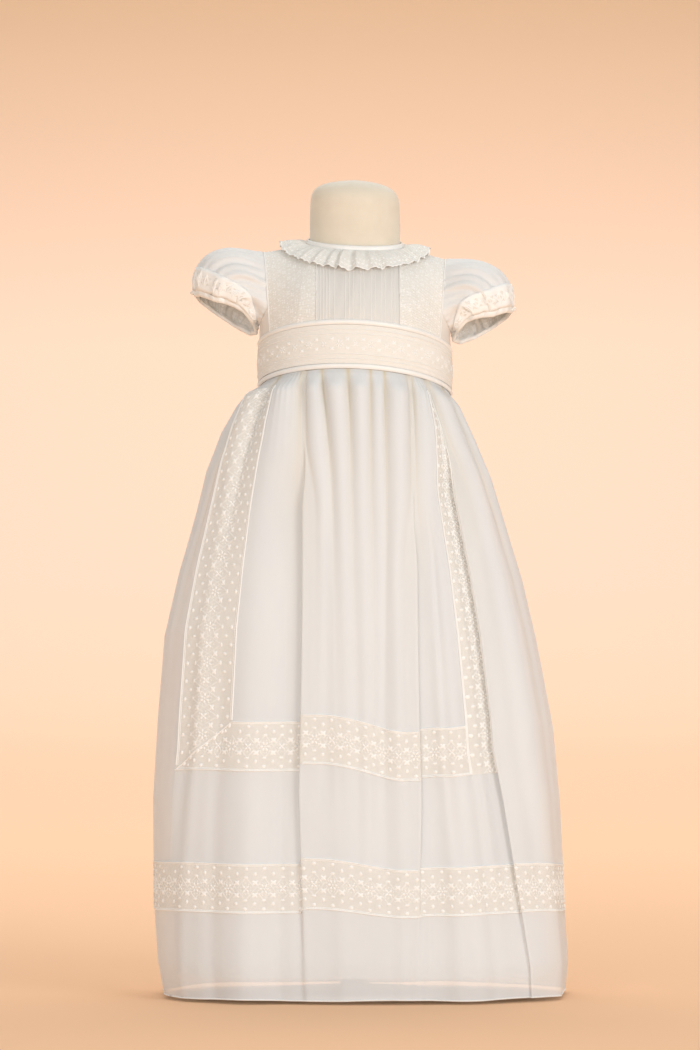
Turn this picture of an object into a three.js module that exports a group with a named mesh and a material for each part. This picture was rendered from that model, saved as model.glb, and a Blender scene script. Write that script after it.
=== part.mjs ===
// A long christening gown of sheer cloth with lace bands, worn by a limbless child dress form.
// Millimetres, +Z up. The front faces -Y, and left is -X. The origin is the centre of the
// underside of the stand. Cloth is a thin wall with its true folds, open at neck, cuffs and hem.

import * as THREE from 'three';

// Cloth and seams
const CLOTH = 1.1;               // wall of the sheer cloth and of the lining
const LACE = 0.8;                // wall of the lace
const SEAM_GAP = 0.3;            // between two pieces sewn to each other
const LEAN = 0.038;              // how far the left shoulder stands above the right one, per mm

// Waist and sash
const WAIST_HALF_WIDTH = 88.5;
const WAIST_FRONT = 71.5;
const WAIST_BACK = 70;
const WAIST_SIDE_Z = 555;        // seam of sash and skirt, at the sides
const SASH_SIDE_Z = 597.3;       // seam of sash and bodice, at the sides
const WAIST_ARCH = 22.4;         // how much higher the waist seam is at the centre front
const SASH_ARCH = 24.9;
const ARCH_SOFTNESS = 0.08;
const SASH_WALL = 1.6;
const SASH_BINDING = 4.6;
const SASH_BINDING_WALL = 2.4;

// Skirt: shares of its length, 0 at the waist seam and 1 at the hem
const HEM_Z = 3.3;
const MIDDLE = 0.6;              // level at which the columns' middle places hold
const UPPER_LACE_TOP = 0.558;
const UPPER_LACE_BOTTOM = 0.637;
const LOWER_LACE_TOP = 0.783;
const LOWER_LACE_BOTTOM = 0.862;
const SKIRT_SHARES = [0, 0.02, 0.06, 0.12, 0.21, 0.36, UPPER_LACE_TOP, UPPER_LACE_BOTTOM,
  LOWER_LACE_TOP, LOWER_LACE_BOTTOM, 0.935, 1];
const GATHER_HEIGHT = 0.24;      // height of a gather as a share of its width at the waist
const BACK_GATHERS = 9;          // gathers from each side of the front to the centre back
const OUTLINE_STEPS = 160;       // steps of half a section

// Half widths and depths of the skirt down its length. square: 2 is an ellipse, more is boxier.
const SKIRT_SECTIONS = [
  { share: 0.00, left: 88.5, right: 88.5, front: 71.5, back: 70, square: 2 },
  { share: 0.025, left: 99, right: 90.5, front: 75, back: 74, square: 2.1 },
  { share: 0.075, left: 117, right: 105.5, front: 81, back: 81, square: 2.2 },
  { share: 0.14, left: 133, right: 122.5, front: 87, back: 88, square: 2.35 },
  { share: 0.21, left: 144, right: 135, front: 92, back: 94, square: 2.5 },
  { share: 0.31, left: 161, right: 152, front: 97, back: 101, square: 2.6 },
  { share: 0.41, left: 174, right: 165, front: 101, back: 107, square: 2.7 },
  { share: 0.55, left: 180, right: 179.5, front: 105, back: 112, square: 2.8 },
  { share: 0.68, left: 184, right: 186, front: 108, back: 116, square: 2.9 },
  { share: 0.85, left: 183, right: 190.5, front: 111, back: 118, square: 2.95 },
  { share: 0.95, left: 179, right: 194, front: 112, back: 119, square: 3.0 },
  { share: 1.00, left: 174, right: 191.5, front: 112, back: 119, square: 3.0 },
];

// Valleys of the front gathers: millimetres of cloth from the centre front, at three levels.
const FRONT_VALLEYS = [
  { waist: -104, middle: -186, hem: -203 },
  { waist: -74.7, middle: -141, hem: -151 },
  { waist: -47.6, middle: -46, hem: -46, tuck: 'centre_left' },
  { waist: -31, middle: -14, hem: -14 },
  { waist: -6.5, middle: 2, hem: 2 },
  { waist: 14.5, middle: 16, hem: 16 },
  { waist: 27, middle: 28, hem: 28 },
  { waist: 52, middle: 57, hem: 57, tuck: 'centre_right' },
  { waist: 71, middle: 130, hem: 168, tuck: 'side_right' },
  { waist: 94, middle: 190, hem: 212 },
];
// Valleys of the back gathers that carry a tuck, counted from the front.
const BACK_TUCKS = { 'left-4': 'back_left', 'right-5': 'back_right' };

// Deep folds, where the cloth laps over itself. over: the side whose cloth lies on top.
// half: half of the fold's cloth; depth: how far the lower layer lies in; lift: how much
// higher the upper layer hangs; start: share of the length where the fold begins.
const TUCKS = {
  centre_left: { over: 1, half: 9.5, depth: 9.5, lift: 7, start: 0.1 },
  centre_right: { over: -1, half: 8.5, depth: 8, lift: 3, start: 0.16 },
  side_right: { over: 1, half: 11, depth: 9.5, lift: 1.5, start: 0.06 },
  back_left: { over: -1, half: 10, depth: 9.5, lift: 4, start: 0.12 },
  back_right: { over: 1, half: 9.5, depth: 9, lift: 3, start: 0.18 },
};
const TUCK_COLUMNS = [-0.78, -0.52, -0.34, 0, 0.34, 0.52, 0.78];
const TUCK_LAP = 0.78;           // sideways swing of the fold, as a share of its half
const TUCK_GROWTH = 0.14;        // share of the length over which a fold opens
const TUCK_WAIST_HALF = 1.9;
const TUCK_REACH = 26;           // how far the lower layer takes to come out again
const LIFT_REACH = 60;
const BEND_KEPT = 0.06;          // least length that a bend keeps on its inner side, as a share

// Soft flutes of the hem: place along the hem, spread and height.
const FLUTES = [
  { at: -430, spread: 30, height: 6 },
  { at: -345, spread: 26, height: 5 },
  { at: -262, spread: 24, height: 4 },
  { at: -205, spread: 18, height: 3 },
  { at: -100, spread: 20, height: 5 },
  { at: 8, spread: 38, height: 3 },
  { at: 110, spread: 26, height: 5 },
  { at: 205, spread: 20, height: 4 },
  { at: 290, spread: 28, height: 5 },
  { at: 372, spread: 24, height: 4 },
  { at: 455, spread: 28, height: 6 },
];
const FLUTE_START = 0.15;

// Lining, seen through the sheer cloth at the sides and above the hem
const LINING_COLUMNS = 36;
// Panels of the lining, by the columns of their seams, counted from the centre back.
const LINING_PANELS = [
  { name: 'lining_side_left', first: 6, last: 12 },
  { name: 'lining_front', first: 12, last: 24 },
  { name: 'lining_side_right', first: 24, last: 30 },
  { name: 'lining_back', first: 30, last: 42 },
];
const LINING_TOP = 0.006;
const LINING_BOTTOM = 0.946;
const LINING_LACE_BOTTOM = 0.965;
const LINING_SHARES = [LINING_TOP, 0.03, 0.1, 0.25, 0.6, LINING_BOTTOM];
const LINING_INSETS = [
  { share: 0, inset: 1.9 },
  { share: 0.03, inset: 3.2 },
  { share: 0.1, inset: 8 },
  { share: 0.2, inset: 14 },
  { share: 1, inset: 15 },
];

// Bodice
const NECK_HALF_WIDTH = 43.5;
const NECK_HALF_DEPTH = 37;
const NECK_SIDE_Z = 692.3;
const NECK_TILT = 6.2;           // the back of the neck seam stands higher than its front
const SHOULDER_X = 84;
const SHOULDER_Z = 683.6;
const ARMHOLE_BOTTOM_X = 88;
const ARMHOLE_BOTTOM_Z = 616.6;
const ARMHOLE_SEAM_Z = 634;      // where the side panel ends and front and back begin
const SIDE_SEAM_X = 78;          // at the sash, the edge of front and of back
const TUCK_PANEL_LEFT = -35;
const TUCK_PANEL_RIGHT = 41;
const PIN_TUCKS = 8;
const PIN_TUCK_HEIGHT = 0.7;
const PIN_TUCK_HALF = 0.9;
// Bends of the bodice from the sash up to the neck and shoulder: the second and third
// handles of each upward curve, by distance from the centre.
const FRONT_BENDS = [
  { x: 0, lowY: 71.5, lowZ: 646, highY: 48, highZ: 670 },
  { x: 43, lowY: 64, lowZ: 648, highY: 32, highZ: 690 },
  { x: 84, lowY: 36, lowZ: 641, highY: 24, highZ: 683.6 },
];
const BACK_BENDS = [
  { x: 0, lowY: 70, lowZ: 640, highY: 52, highZ: 686 },
  { x: 43, lowY: 63, lowZ: 644, highY: 32, highZ: 692 },
  { x: 84, lowY: 36, lowZ: 641, highY: 24, highZ: 683.6 },
];
const BODICE_ROWS = 5;

// Neck
const NECK_BINDING_HEIGHT = 5.7;
const NECK_BINDING_WALL = 2.1;
const RUFFLE_WAVES = 30;
const RUFFLE_WAVE_HEIGHT = 2.1;
const RUFFLE_OUTER = { halfWidth: 68, front: 54, back: 52, sideZ: 692, frontDrop: 22.4, backDrop: 7 };
const BACK_OPENING = 1.2;        // half of the slit at the centre back

// Sleeves, right arm: outer and inner points of each ring seen from the front, and half depth.
const SLEEVE_RINGS = [
  { outerX: 84.5, outerZ: 683.6, innerX: 88.5, innerZ: 616.6, halfDepth: 31 },
  { outerX: 102, outerZ: 683.4, innerX: 89.6, innerZ: 615, halfDepth: 35.5 },
  { outerX: 119, outerZ: 681.5, innerX: 90.6, innerZ: 613.5, halfDepth: 38 },
  { outerX: 134.5, outerZ: 673, innerX: 91.4, innerZ: 612, halfDepth: 38 },
  { outerX: 143.5, outerZ: 660, innerX: 92, innerZ: 610.5, halfDepth: 36 },
  { outerX: 145.8, outerZ: 647, innerX: 92.6, innerZ: 609.2, halfDepth: 32.5 },
  { outerX: 143.5, outerZ: 635.6, innerX: 93, innerZ: 607.8, halfDepth: 29 },
];
const SLEEVE_COLUMNS = 30;
const SLEEVE_GATHERS = 10;
const SLEEVE_GATHER_HEIGHT = 1.3;
const SLEEVE_LACE_WIDTH = 22;
const CUFF_HEIGHT = 6;
const CUFF_WALL = 2;
const CUFF_GAP_SHARE = 0.0125;     // seam of cuff and lace, as a share of the sleeve's length
const CUFF_TILT = 0.28;          // the back of the cuff hangs lower, per mm of depth
const LEFT_SLEEVE_PUFF = 1.05;   // the left sleeve stands a little fuller and higher
const LEFT_SLEEVE_RAISE = 4;

// Buttons and ties
const BUTTONS = 4;
const BUTTON_RADIUS = 4;
const BUTTON_HEIGHT = 2;
const BUTTONS_FROM = 0.12;       // shares of the bodice's height
const BUTTONS_TO = 0.72;
const PLACKET_WIDTH = 11;
const PLACKET_END = 0.75;        // share of the bodice's last row that the placket covers
const BOW_WIDTH = 13;
const BOW_THICKNESS = 1.2;
const BOW_SEAT = 2.3;            // from the cuff's edge line to the back of the bow

// Dress form and stand
const FORM_SECTIONS = [
  { z: 462, halfWidth: 42, front: 34, back: 34, square: 2.2 },
  { z: 469, halfWidth: 66, front: 51, back: 51, square: 2.25 },
  { z: 490, halfWidth: 77, front: 60, back: 60, square: 2.25 },
  { z: 530, halfWidth: 79, front: 62, back: 61, square: 2.25 },
  { z: 620, halfWidth: 79, front: 61, back: 60, square: 2.2 },
  { z: 645, halfWidth: 78, front: 56, back: 55, square: 2.1 },
  { z: 660, halfWidth: 75, front: 48, back: 49, square: 2.05 },
  { z: 671, halfWidth: 67, front: 42, back: 43, square: 2 },
  { z: 679, halfWidth: 55, front: 37, back: 38.5, square: 2 },
  { z: 685, halfWidth: 44, front: 35.2, back: 36, square: 2 },
  { z: 690, halfWidth: 41.8, front: 35.2, back: 35.2, square: 2 },
  { z: 712, halfWidth: 41.8, front: 35.2, back: 35.2, square: 2 },
  { z: 738, halfWidth: 41, front: 34, back: 34, square: 2 },
  { z: 747, halfWidth: 36.5, front: 30, back: 30, square: 2 },
  { z: 752, halfWidth: 26, front: 21, back: 21, square: 2 },
];
const FORM_COLUMNS = 26;
const FORM_TOP_Z = 754;
const POLE_RADIUS = 11;
const BASE_RADIUS = 80;
const BASE_THICKNESS = 5;
const ROUND_SIDES = 40;

const group = new THREE.Group();

const COLOURS = {
  sheer: { color: 0xeae7e0, roughness: 0.6 },
  lace: { color: 0xe4dccf, roughness: 0.75 },
  lining: { color: 0xf0ede6, roughness: 0.7 },
  binding: { color: 0xf4f2ec, roughness: 0.5 },
  form: { color: 0xe3d0ba, roughness: 0.9 },
  stand: { color: 0xe9e5de, roughness: 0.4 },
  button: { color: 0xf6f2e9, roughness: 0.25 },
};

// Plain sums

const lerp = (a, b, u) => a + (b - a) * u;
const clamp = (v, low, high) => Math.min(Math.max(v, low), high);

function ease(u) {
  const v = clamp(u, 0, 1);
  return v * v * (3 - 2 * v);
}

function mix(a, b, u) {
  return [lerp(a[0], b[0], u), lerp(a[1], b[1], u), lerp(a[2], b[2], u)];
}

function distance(a, b) {
  return Math.hypot(a[0] - b[0], a[1] - b[1], a[2] - b[2]);
}

// Distance from the middle of a rounded section to its edge. square: 2 is an ellipse.
function squareReach(turn, width, depth, square) {
  const across = (Math.abs(Math.sin(turn)) / width) ** square;
  const deep = (Math.abs(Math.cos(turn)) / depth) ** square;
  return (across + deep) ** (-1 / square);
}

// Smooth curve through four values in a row.
function through(before, from, to, after, u) {
  const slopeFrom = (to - before) / 2;
  const slopeTo = (after - from) / 2;
  const u2 = u * u;
  const u3 = u2 * u;
  return (2 * u3 - 3 * u2 + 1) * from + (u3 - 2 * u2 + u) * slopeFrom
    + (3 * u2 - 2 * u3) * to + (u3 - u2) * slopeTo;
}

// Reads a table whose rows are sorted by one column, with straight lines between the rows.
function readTable(rows, by, at) {
  let i = 0;
  while (i < rows.length - 2 && rows[i + 1][by] < at) i += 1;
  const u = clamp((at - rows[i][by]) / (rows[i + 1][by] - rows[i][by]), 0, 1);
  const row = {};
  for (const key of Object.keys(rows[0])) row[key] = lerp(rows[i][key], rows[i + 1][key], u);
  return row;
}

function bezier(p0, p1, p2, p3, u) {
  const v = 1 - u;
  return p0.map((value, k) => v * v * v * value + 3 * v * v * u * p1[k]
    + 3 * v * u * u * p2[k] + u * u * u * p3[k]);
}

// Tilts what is above the waist: the left shoulder stands higher.
function leaned(point, amount = 1) {
  return [point[0], point[1], point[2] - LEAN * point[0] * amount];
}

// Solids from grids of points

function addMesh(name, geometry, look) {
  const material = new THREE.MeshStandardMaterial({ ...COLOURS[look], metalness: 0 });
  const mesh = new THREE.Mesh(geometry, material);
  mesh.name = name;
  group.add(mesh);
  return mesh;
}

// Closes a wall between two grids of the same size. ring joins the last column to the first.
function wallGeometry(outer, inner, ring = false) {
  const rows = outer.length;
  const columns = outer[0].length;
  const positions = [];
  for (const grid of [outer, inner]) {
    for (const row of grid) for (const point of row) positions.push(...point);
  }
  const outerAt = (r, c) => r * columns + (c % columns);
  const innerAt = (r, c) => rows * columns + outerAt(r, c);
  const faces = [];
  const quad = (a, b, c, d) => faces.push(a, b, c, a, c, d);
  const lastColumn = ring ? columns : columns - 1;
  for (let c = 0; c < lastColumn; c += 1) {
    for (let r = 0; r < rows - 1; r += 1) {
      quad(outerAt(r, c), outerAt(r, c + 1), outerAt(r + 1, c + 1), outerAt(r + 1, c));
      quad(innerAt(r, c), innerAt(r + 1, c), innerAt(r + 1, c + 1), innerAt(r, c + 1));
    }
    quad(outerAt(0, c), innerAt(0, c), innerAt(0, c + 1), outerAt(0, c + 1));
    const end = rows - 1;
    quad(outerAt(end, c), outerAt(end, c + 1), innerAt(end, c + 1), innerAt(end, c));
  }
  if (!ring) {
    const last = columns - 1;
    for (let r = 0; r < rows - 1; r += 1) {
      quad(outerAt(r, 0), outerAt(r + 1, 0), innerAt(r + 1, 0), innerAt(r, 0));
      quad(outerAt(r, last), innerAt(r, last), innerAt(r + 1, last), outerAt(r + 1, last));
    }
  }
  return facingOut(positions, faces);
}

// Turns every face round if the solid came out inside out.
function facingOut(positions, faces) {
  let volume = 0;
  for (let i = 0; i < faces.length; i += 3) {
    const [a, b, c] = [faces[i], faces[i + 1], faces[i + 2]].map((k) =>
      new THREE.Vector3(positions[3 * k], positions[3 * k + 1], positions[3 * k + 2]));
    volume += a.dot(b.cross(c));
  }
  if (volume < 0) {
    for (let i = 0; i < faces.length; i += 3) {
      [faces[i + 1], faces[i + 2]] = [faces[i + 2], faces[i + 1]];
    }
  }
  const geometry = new THREE.BufferGeometry();
  geometry.setAttribute('position', new THREE.Float32BufferAttribute(positions, 3));
  geometry.setIndex(faces);
  geometry.computeVertexNormals();
  return geometry;
}

// Moves a grid of points along its own normals. side: 1 or -1 picks which way is out.
function movedGrid(grid, offset, side, ring = false) {
  const rows = grid.length;
  const columns = grid[0].length;
  const pick = (r, c) => {
    const row = grid[clamp(r, 0, rows - 1)];
    return row[ring ? (c + columns) % columns : clamp(c, 0, columns - 1)];
  };
  return grid.map((row, r) => row.map((point, c) => {
    const down = new THREE.Vector3(...pick(r + 1, c)).sub(new THREE.Vector3(...pick(r - 1, c)));
    const along = new THREE.Vector3(...pick(r, c + 1)).sub(new THREE.Vector3(...pick(r, c - 1)));
    const out = along.cross(down).normalize().multiplyScalar(offset * side);
    return [point[0] + out.x, point[1] + out.y, point[2] + out.z];
  }));
}

// Pulls the first and the last column of a grid in, to leave the gap of a seam.
function seamGaps(grid, first = SEAM_GAP / 2, last = SEAM_GAP / 2) {
  return grid.map((row) => {
    const end = row.length - 1;
    const copy = row.slice();
    if (first) copy[0] = mix(row[0], row[1], first / distance(row[0], row[1]));
    if (last) copy[end] = mix(row[end], row[end - 1], last / distance(row[end], row[end - 1]));
    return copy;
  });
}

// Waist seams

// 1 at the centre front, near 0 at the sides and the back, with a soft change.
function archShare(frontness) {
  return (frontness + Math.sqrt(frontness * frontness + ARCH_SOFTNESS)) / 2;
}

const waistZ = (frontness) => WAIST_SIDE_Z + WAIST_ARCH * archShare(frontness);
const sashZ = (frontness) => SASH_SIDE_Z + SASH_ARCH * archShare(frontness);

// Skirt

// A section walked from the centre front, to the right (+) or to the left (-).
function makeOutline(section) {
  const sides = {};
  for (const sign of [1, -1]) {
    const points = [];
    let length = 0;
    for (let i = 0; i <= OUTLINE_STEPS; i += 1) {
      const turn = (Math.PI * i) / OUTLINE_STEPS;
      const width = sign > 0 ? section.right : section.left;
      const depth = Math.cos(turn) > 0 ? section.front : section.back;
      const reach = squareReach(turn, width, depth, section.square);
      const x = sign * reach * Math.sin(turn);
      const y = -reach * Math.cos(turn);
      if (i > 0) length += Math.hypot(x - points[i - 1].x, y - points[i - 1].y);
      points.push({ x, y, length });
    }
    sides[sign] = points;
  }
  const half = (sign) => sides[sign][OUTLINE_STEPS].length;
  const at = (arc) => {
    const sign = arc < 0 ? -1 : 1;
    const points = sides[sign];
    const wanted = clamp(Math.abs(arc), 0, half(sign));
    let i = 0;
    while (i < OUTLINE_STEPS - 1 && points[i + 1].length < wanted) i += 1;
    const u = (wanted - points[i].length) / (points[i + 1].length - points[i].length);
    const before = points[Math.max(i - 1, 0)];
    const after = points[Math.min(i + 2, OUTLINE_STEPS)];
    const alongX = sign * (after.x - before.x);
    const alongY = sign * (after.y - before.y);
    const norm = Math.hypot(alongX, alongY);
    return {
      x: lerp(points[i].x, points[i + 1].x, u),
      y: lerp(points[i].y, points[i + 1].y, u),
      outX: alongY / norm,
      outY: -alongX / norm,
      alongX: alongX / norm,
      alongY: alongY / norm,
    };
  };
  return { half, at };
}

const waistOutline = makeOutline(SKIRT_SECTIONS[0]);
const middleOutline = makeOutline(readTable(SKIRT_SECTIONS, 'share', MIDDLE));
const hemOutline = makeOutline(SKIRT_SECTIONS[SKIRT_SECTIONS.length - 1]);

// Every valley round the waist, from the centre back over the left side and the front.
function allValleys() {
  const valleys = FRONT_VALLEYS.map((row) => ({ ...row }));
  for (const sign of [-1, 1]) {
    const start = sign < 0 ? FRONT_VALLEYS[0] : FRONT_VALLEYS[FRONT_VALLEYS.length - 1];
    for (let k = 1; k <= BACK_GATHERS; k += 1) {
      const uneven = k < BACK_GATHERS ? 0.012 * Math.sin(7.3 * k + sign) : 0;
      const u = k / BACK_GATHERS + uneven;
      const valley = {
        waist: lerp(start.waist, sign * waistOutline.half(sign), u),
        middle: lerp(start.middle, sign * middleOutline.half(sign), u),
        hem: lerp(start.hem, sign * hemOutline.half(sign), u),
        tuck: BACK_TUCKS[`${sign < 0 ? 'left' : 'right'}-${k}`],
      };
      if (sign < 0) valleys.unshift(valley);
      else valleys.push(valley);
    }
  }
  return valleys;
}

// Columns of points down the skirt: each valley, the points of its tuck and two ridge points.
function makeColumns() {
  const valleys = allValleys();
  const columns = [];
  valleys.forEach((valley, i) => {
    if (valley.tuck) {
      for (const place of TUCK_COLUMNS) columns.push({ ...valley, place, phase: 0, width: 0 });
    } else {
      columns.push({ ...valley, place: 0, phase: 0, width: 0 });
    }
    const next = valleys[i + 1];
    if (!next) return;
    for (const phase of [1 / 3, 2 / 3]) {
      columns.push({
        waist: lerp(valley.waist, next.waist, phase),
        middle: lerp(valley.middle, next.middle, phase),
        hem: lerp(valley.hem, next.hem, phase),
        place: 0,
        phase,
        width: next.waist - valley.waist,
      });
    }
  });
  return columns;
}

// Where a piece of cloth lies on the section at this share of the length.
function arcAt(share, outline, cloth) {
  const sign = cloth.waist < 0 ? -1 : 1;
  const half = outline.half(sign);
  const atWaist = cloth.waist / waistOutline.half(sign);
  const atMiddle = cloth.middle / middleOutline.half(sign);
  const atHem = cloth.hem / hemOutline.half(sign);
  if (share <= MIDDLE) {
    const whole = 1 / waistOutline.half(sign) - 1 / middleOutline.half(sign);
    const part = (1 / waistOutline.half(sign) - 1 / half) / whole;
    return half * lerp(atWaist, atMiddle, part);
  }
  return half * lerp(atMiddle, atHem, (share - MIDDLE) / (1 - MIDDLE));
}

const tuckOpening = (tuck, share) => ease((share - tuck.start) / TUCK_GROWTH);
const tuckHalf = (tuck, share) => lerp(TUCK_WAIST_HALF, tuck.half, tuckOpening(tuck, share));

// How strongly the gathers of the waist still show: full just under the seam, then fading.
function gatherShare(share) {
  return ease(share / 0.025) * (0.15 + 0.85 * Math.exp(-share / 0.17)) * (1 - ease((share - 0.5) / 0.4));
}

// Depth, sideways swing and lift that the tucks give to the cloth at one place.
function tuckMoves(share, outline, arc, tuckLines) {
  const moves = { depth: 0, swing: 0, lift: 0 };
  for (const { tuck, line } of tuckLines) {
    const opening = tuckOpening(tuck, share);
    if (opening === 0) continue;
    const half = tuckHalf(tuck, share);
    const off = (arc - line) * tuck.over;
    const place = off / half;
    if (Math.abs(place) < 1) {
      moves.swing -= tuck.over * TUCK_LAP * half * opening * Math.sin(Math.PI * place);
    }
    const turned = 0.5 - 0.5 * Math.sin((Math.PI / 2) * clamp(place / 0.6, -1, 1));
    const past = Math.max(-off - 0.6 * half, 0) / TUCK_REACH;
    moves.depth -= tuck.depth * opening * turned * Math.exp(-past * past);
    const beyond = Math.max(off, 0) / LIFT_REACH;
    moves.lift += tuck.lift * opening * (1 - turned) * Math.exp(-beyond * beyond);
  }
  return moves;
}

function fluteHeight(share, cloth) {
  const grown = ease((share - FLUTE_START) / (1 - FLUTE_START));
  let height = 0;
  for (const flute of FLUTES) {
    height += flute.height * Math.exp(-(((cloth.hem - flute.at) / flute.spread) ** 2));
  }
  return grown * height;
}

// One level of the skirt: its outer points in the section, with their heights.
function skirtLevel(share, columns) {
  const outline = makeOutline(readTable(SKIRT_SECTIONS, 'share', share));
  const tuckLines = columns.filter((column) => column.tuck && column.place === 0)
    .map((column) => ({ tuck: TUCKS[column.tuck], line: arcAt(share, outline, column) }));
  return columns.map((column) => {
    let arc = arcAt(share, outline, column);
    if (column.tuck) arc += column.place * tuckHalf(TUCKS[column.tuck], share);
    const moves = tuckMoves(share, outline, arc, tuckLines);
    const gather = GATHER_HEIGHT * column.width * Math.sin(Math.PI * column.phase) ** 0.7;
    const out = gatherShare(share) * gather + fluteHeight(share, column) + moves.depth;
    const place = outline.at(arc + moves.swing);
    const x = place.x + place.outX * out;
    const y = place.y + place.outY * out;
    const frontness = -waistOutline.at(column.waist).y / WAIST_FRONT;
    const z = lerp(waistZ(frontness) - SEAM_GAP, HEM_Z, share) + moves.lift * (1 - ease((share - 0.85) / 0.15));
    return [x, y, z - LEAN * x * (1 - share)];
  });
}

// Moves a level in or out, square to its own line, in its own plane.
function movedLevel(level, offset) {
  const moved = level.map((point, i) => {
    const last = level.length - 1;
    const directions = [];
    if (i > 0) directions.push([point[0] - level[i - 1][0], point[1] - level[i - 1][1]]);
    if (i < last) directions.push([level[i + 1][0] - point[0], level[i + 1][1] - point[1]]);
    let outX = 0;
    let outY = 0;
    for (const [alongX, alongY] of directions) {
      const norm = Math.hypot(alongX, alongY);
      outX += alongY / norm / directions.length;
      outY -= alongX / norm / directions.length;
    }
    const size = Math.max(Math.hypot(outX, outY), 0.75);
    const stretch = offset / (size * size);
    return [point[0] + outX * stretch, point[1] + outY * stretch, point[2]];
  });
  for (let i = 1; i < level.length - 2; i += 1) keepOrder(level, moved, i);
  return moved;
}

// In a tight bend the moved points would pass each other: they stop close together instead.
function keepOrder(level, moved, i) {
  const alongX = level[i + 1][0] - level[i][0];
  const alongY = level[i + 1][1] - level[i][1];
  const stepX = moved[i + 1][0] - moved[i][0];
  const stepY = moved[i + 1][1] - moved[i][1];
  const kept = (stepX * alongX + stepY * alongY) / (alongX * alongX + alongY * alongY);
  if (kept > BEND_KEPT) return;
  const middle = mix(moved[i], moved[i + 1], 0.5);
  for (const [k, way] of [[i, -0.5], [i + 1, 0.5]]) {
    moved[k][0] = middle[0] + way * BEND_KEPT * alongX;
    moved[k][1] = middle[1] + way * BEND_KEPT * alongY;
  }
}

const skirtColumns = makeColumns();
const skirtOuter = SKIRT_SHARES.map((share) => skirtLevel(share, skirtColumns));

// The part of the skirt's grid between two columns and two shares, moved by an offset.
function skirtGrid(offset, firstColumn, lastColumn, fromShare = 0, toShare = 1) {
  const grid = [];
  SKIRT_SHARES.forEach((share, r) => {
    if (share < fromShare || share > toShare) return;
    grid.push(movedLevel(skirtOuter[r], offset).slice(firstColumn, lastColumn + 1));
  });
  return grid;
}

// The column of the skirt whose cloth lies nearest to a place along the waist.
function columnAt(waist, place = 0) {
  let best = 0;
  const miss = (column) => Math.abs(column.waist - waist) + 0.1 * Math.abs(column.place - place);
  skirtColumns.forEach((column, i) => {
    if (miss(column) < miss(skirtColumns[best])) best = i;
  });
  return best;
}

const BACK_LEFT_END = 0;
const SIDE_BACK_LEFT = columnAt(-186);
const LACE_LEFT_OUTER = columnAt(-94.2);
const LACE_LEFT_INNER = columnAt(-65.7);
const LACE_RIGHT_INNER = columnAt(64.7);
const LACE_RIGHT_OUTER = columnAt(71, 0.34);
const SIDE_FRONT_RIGHT = columnAt(94);
const SIDE_BACK_RIGHT = columnAt(182);
const BACK_RIGHT_END = skirtColumns.length - 1;

function addSkirtPiece(name, look, first, last, inner, outer, fromShare = 0, toShare = 1) {
  const outerGrid = seamGaps(skirtGrid(outer, first, last, fromShare, toShare));
  const innerGrid = seamGaps(skirtGrid(inner, first, last, fromShare, toShare));
  addMesh(name, wallGeometry(outerGrid, innerGrid), look);
}

function addSkirt() {
  addSkirtPiece('skirt_back_left', 'sheer', BACK_LEFT_END, SIDE_BACK_LEFT, -CLOTH, 0);
  addSkirtPiece('skirt_side_left', 'sheer', SIDE_BACK_LEFT, LACE_LEFT_OUTER, -CLOTH, 0);
  addSkirtPiece('skirt_front', 'sheer', LACE_LEFT_OUTER, SIDE_FRONT_RIGHT, -CLOTH, 0);
  addSkirtPiece('skirt_side_right', 'sheer', SIDE_FRONT_RIGHT, SIDE_BACK_RIGHT, -CLOTH, 0);
  addSkirtPiece('skirt_back_right', 'sheer', SIDE_BACK_RIGHT, BACK_RIGHT_END, -CLOTH, 0);
}

function addSkirtLace() {
  const inner = SEAM_GAP;
  const outer = SEAM_GAP + LACE;
  const firstShare = SKIRT_SHARES[1];
  addSkirtPiece('skirt_lace_left', 'lace', LACE_LEFT_OUTER, LACE_LEFT_INNER, inner, outer,
    firstShare, UPPER_LACE_BOTTOM);
  addSkirtPiece('skirt_lace_right', 'lace', LACE_RIGHT_INNER, LACE_RIGHT_OUTER, inner, outer,
    firstShare, UPPER_LACE_BOTTOM);
  addSkirtPiece('skirt_lace_across', 'lace', LACE_LEFT_INNER, LACE_RIGHT_INNER, inner, outer,
    UPPER_LACE_TOP, UPPER_LACE_BOTTOM);
  addSkirtPiece('skirt_lace_band_left', 'lace', BACK_LEFT_END, LACE_LEFT_OUTER, inner, outer,
    LOWER_LACE_TOP, LOWER_LACE_BOTTOM);
  addSkirtPiece('skirt_lace_band_front', 'lace', LACE_LEFT_OUTER, SIDE_FRONT_RIGHT, inner, outer,
    LOWER_LACE_TOP, LOWER_LACE_BOTTOM);
  addSkirtPiece('skirt_lace_band_right', 'lace', SIDE_FRONT_RIGHT, BACK_RIGHT_END, inner, outer,
    LOWER_LACE_TOP, LOWER_LACE_BOTTOM);
}

// Lining

function liningGrid(shares, offset, first = 0, last = LINING_COLUMNS - 1) {
  return shares.map((share) => {
    const outline = makeOutline(readTable(SKIRT_SECTIONS, 'share', share));
    const inset = readTable(LINING_INSETS, 'share', share).inset - offset;
    const row = [];
    for (let c = first; c <= last; c += 1) {
      const around = (2 * (c % LINING_COLUMNS)) / LINING_COLUMNS - 1;
      const sign = around < 0 ? -1 : 1;
      const place = outline.at(around * outline.half(sign));
      const waistPlace = waistOutline.at(around * waistOutline.half(sign));
      const x = place.x - place.outX * inset;
      const y = place.y - place.outY * inset;
      const z = lerp(waistZ(-waistPlace.y / WAIST_FRONT), HEM_Z, share);
      row.push([x, y, z - LEAN * x * (1 - share)]);
    }
    return row;
  });
}

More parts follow.
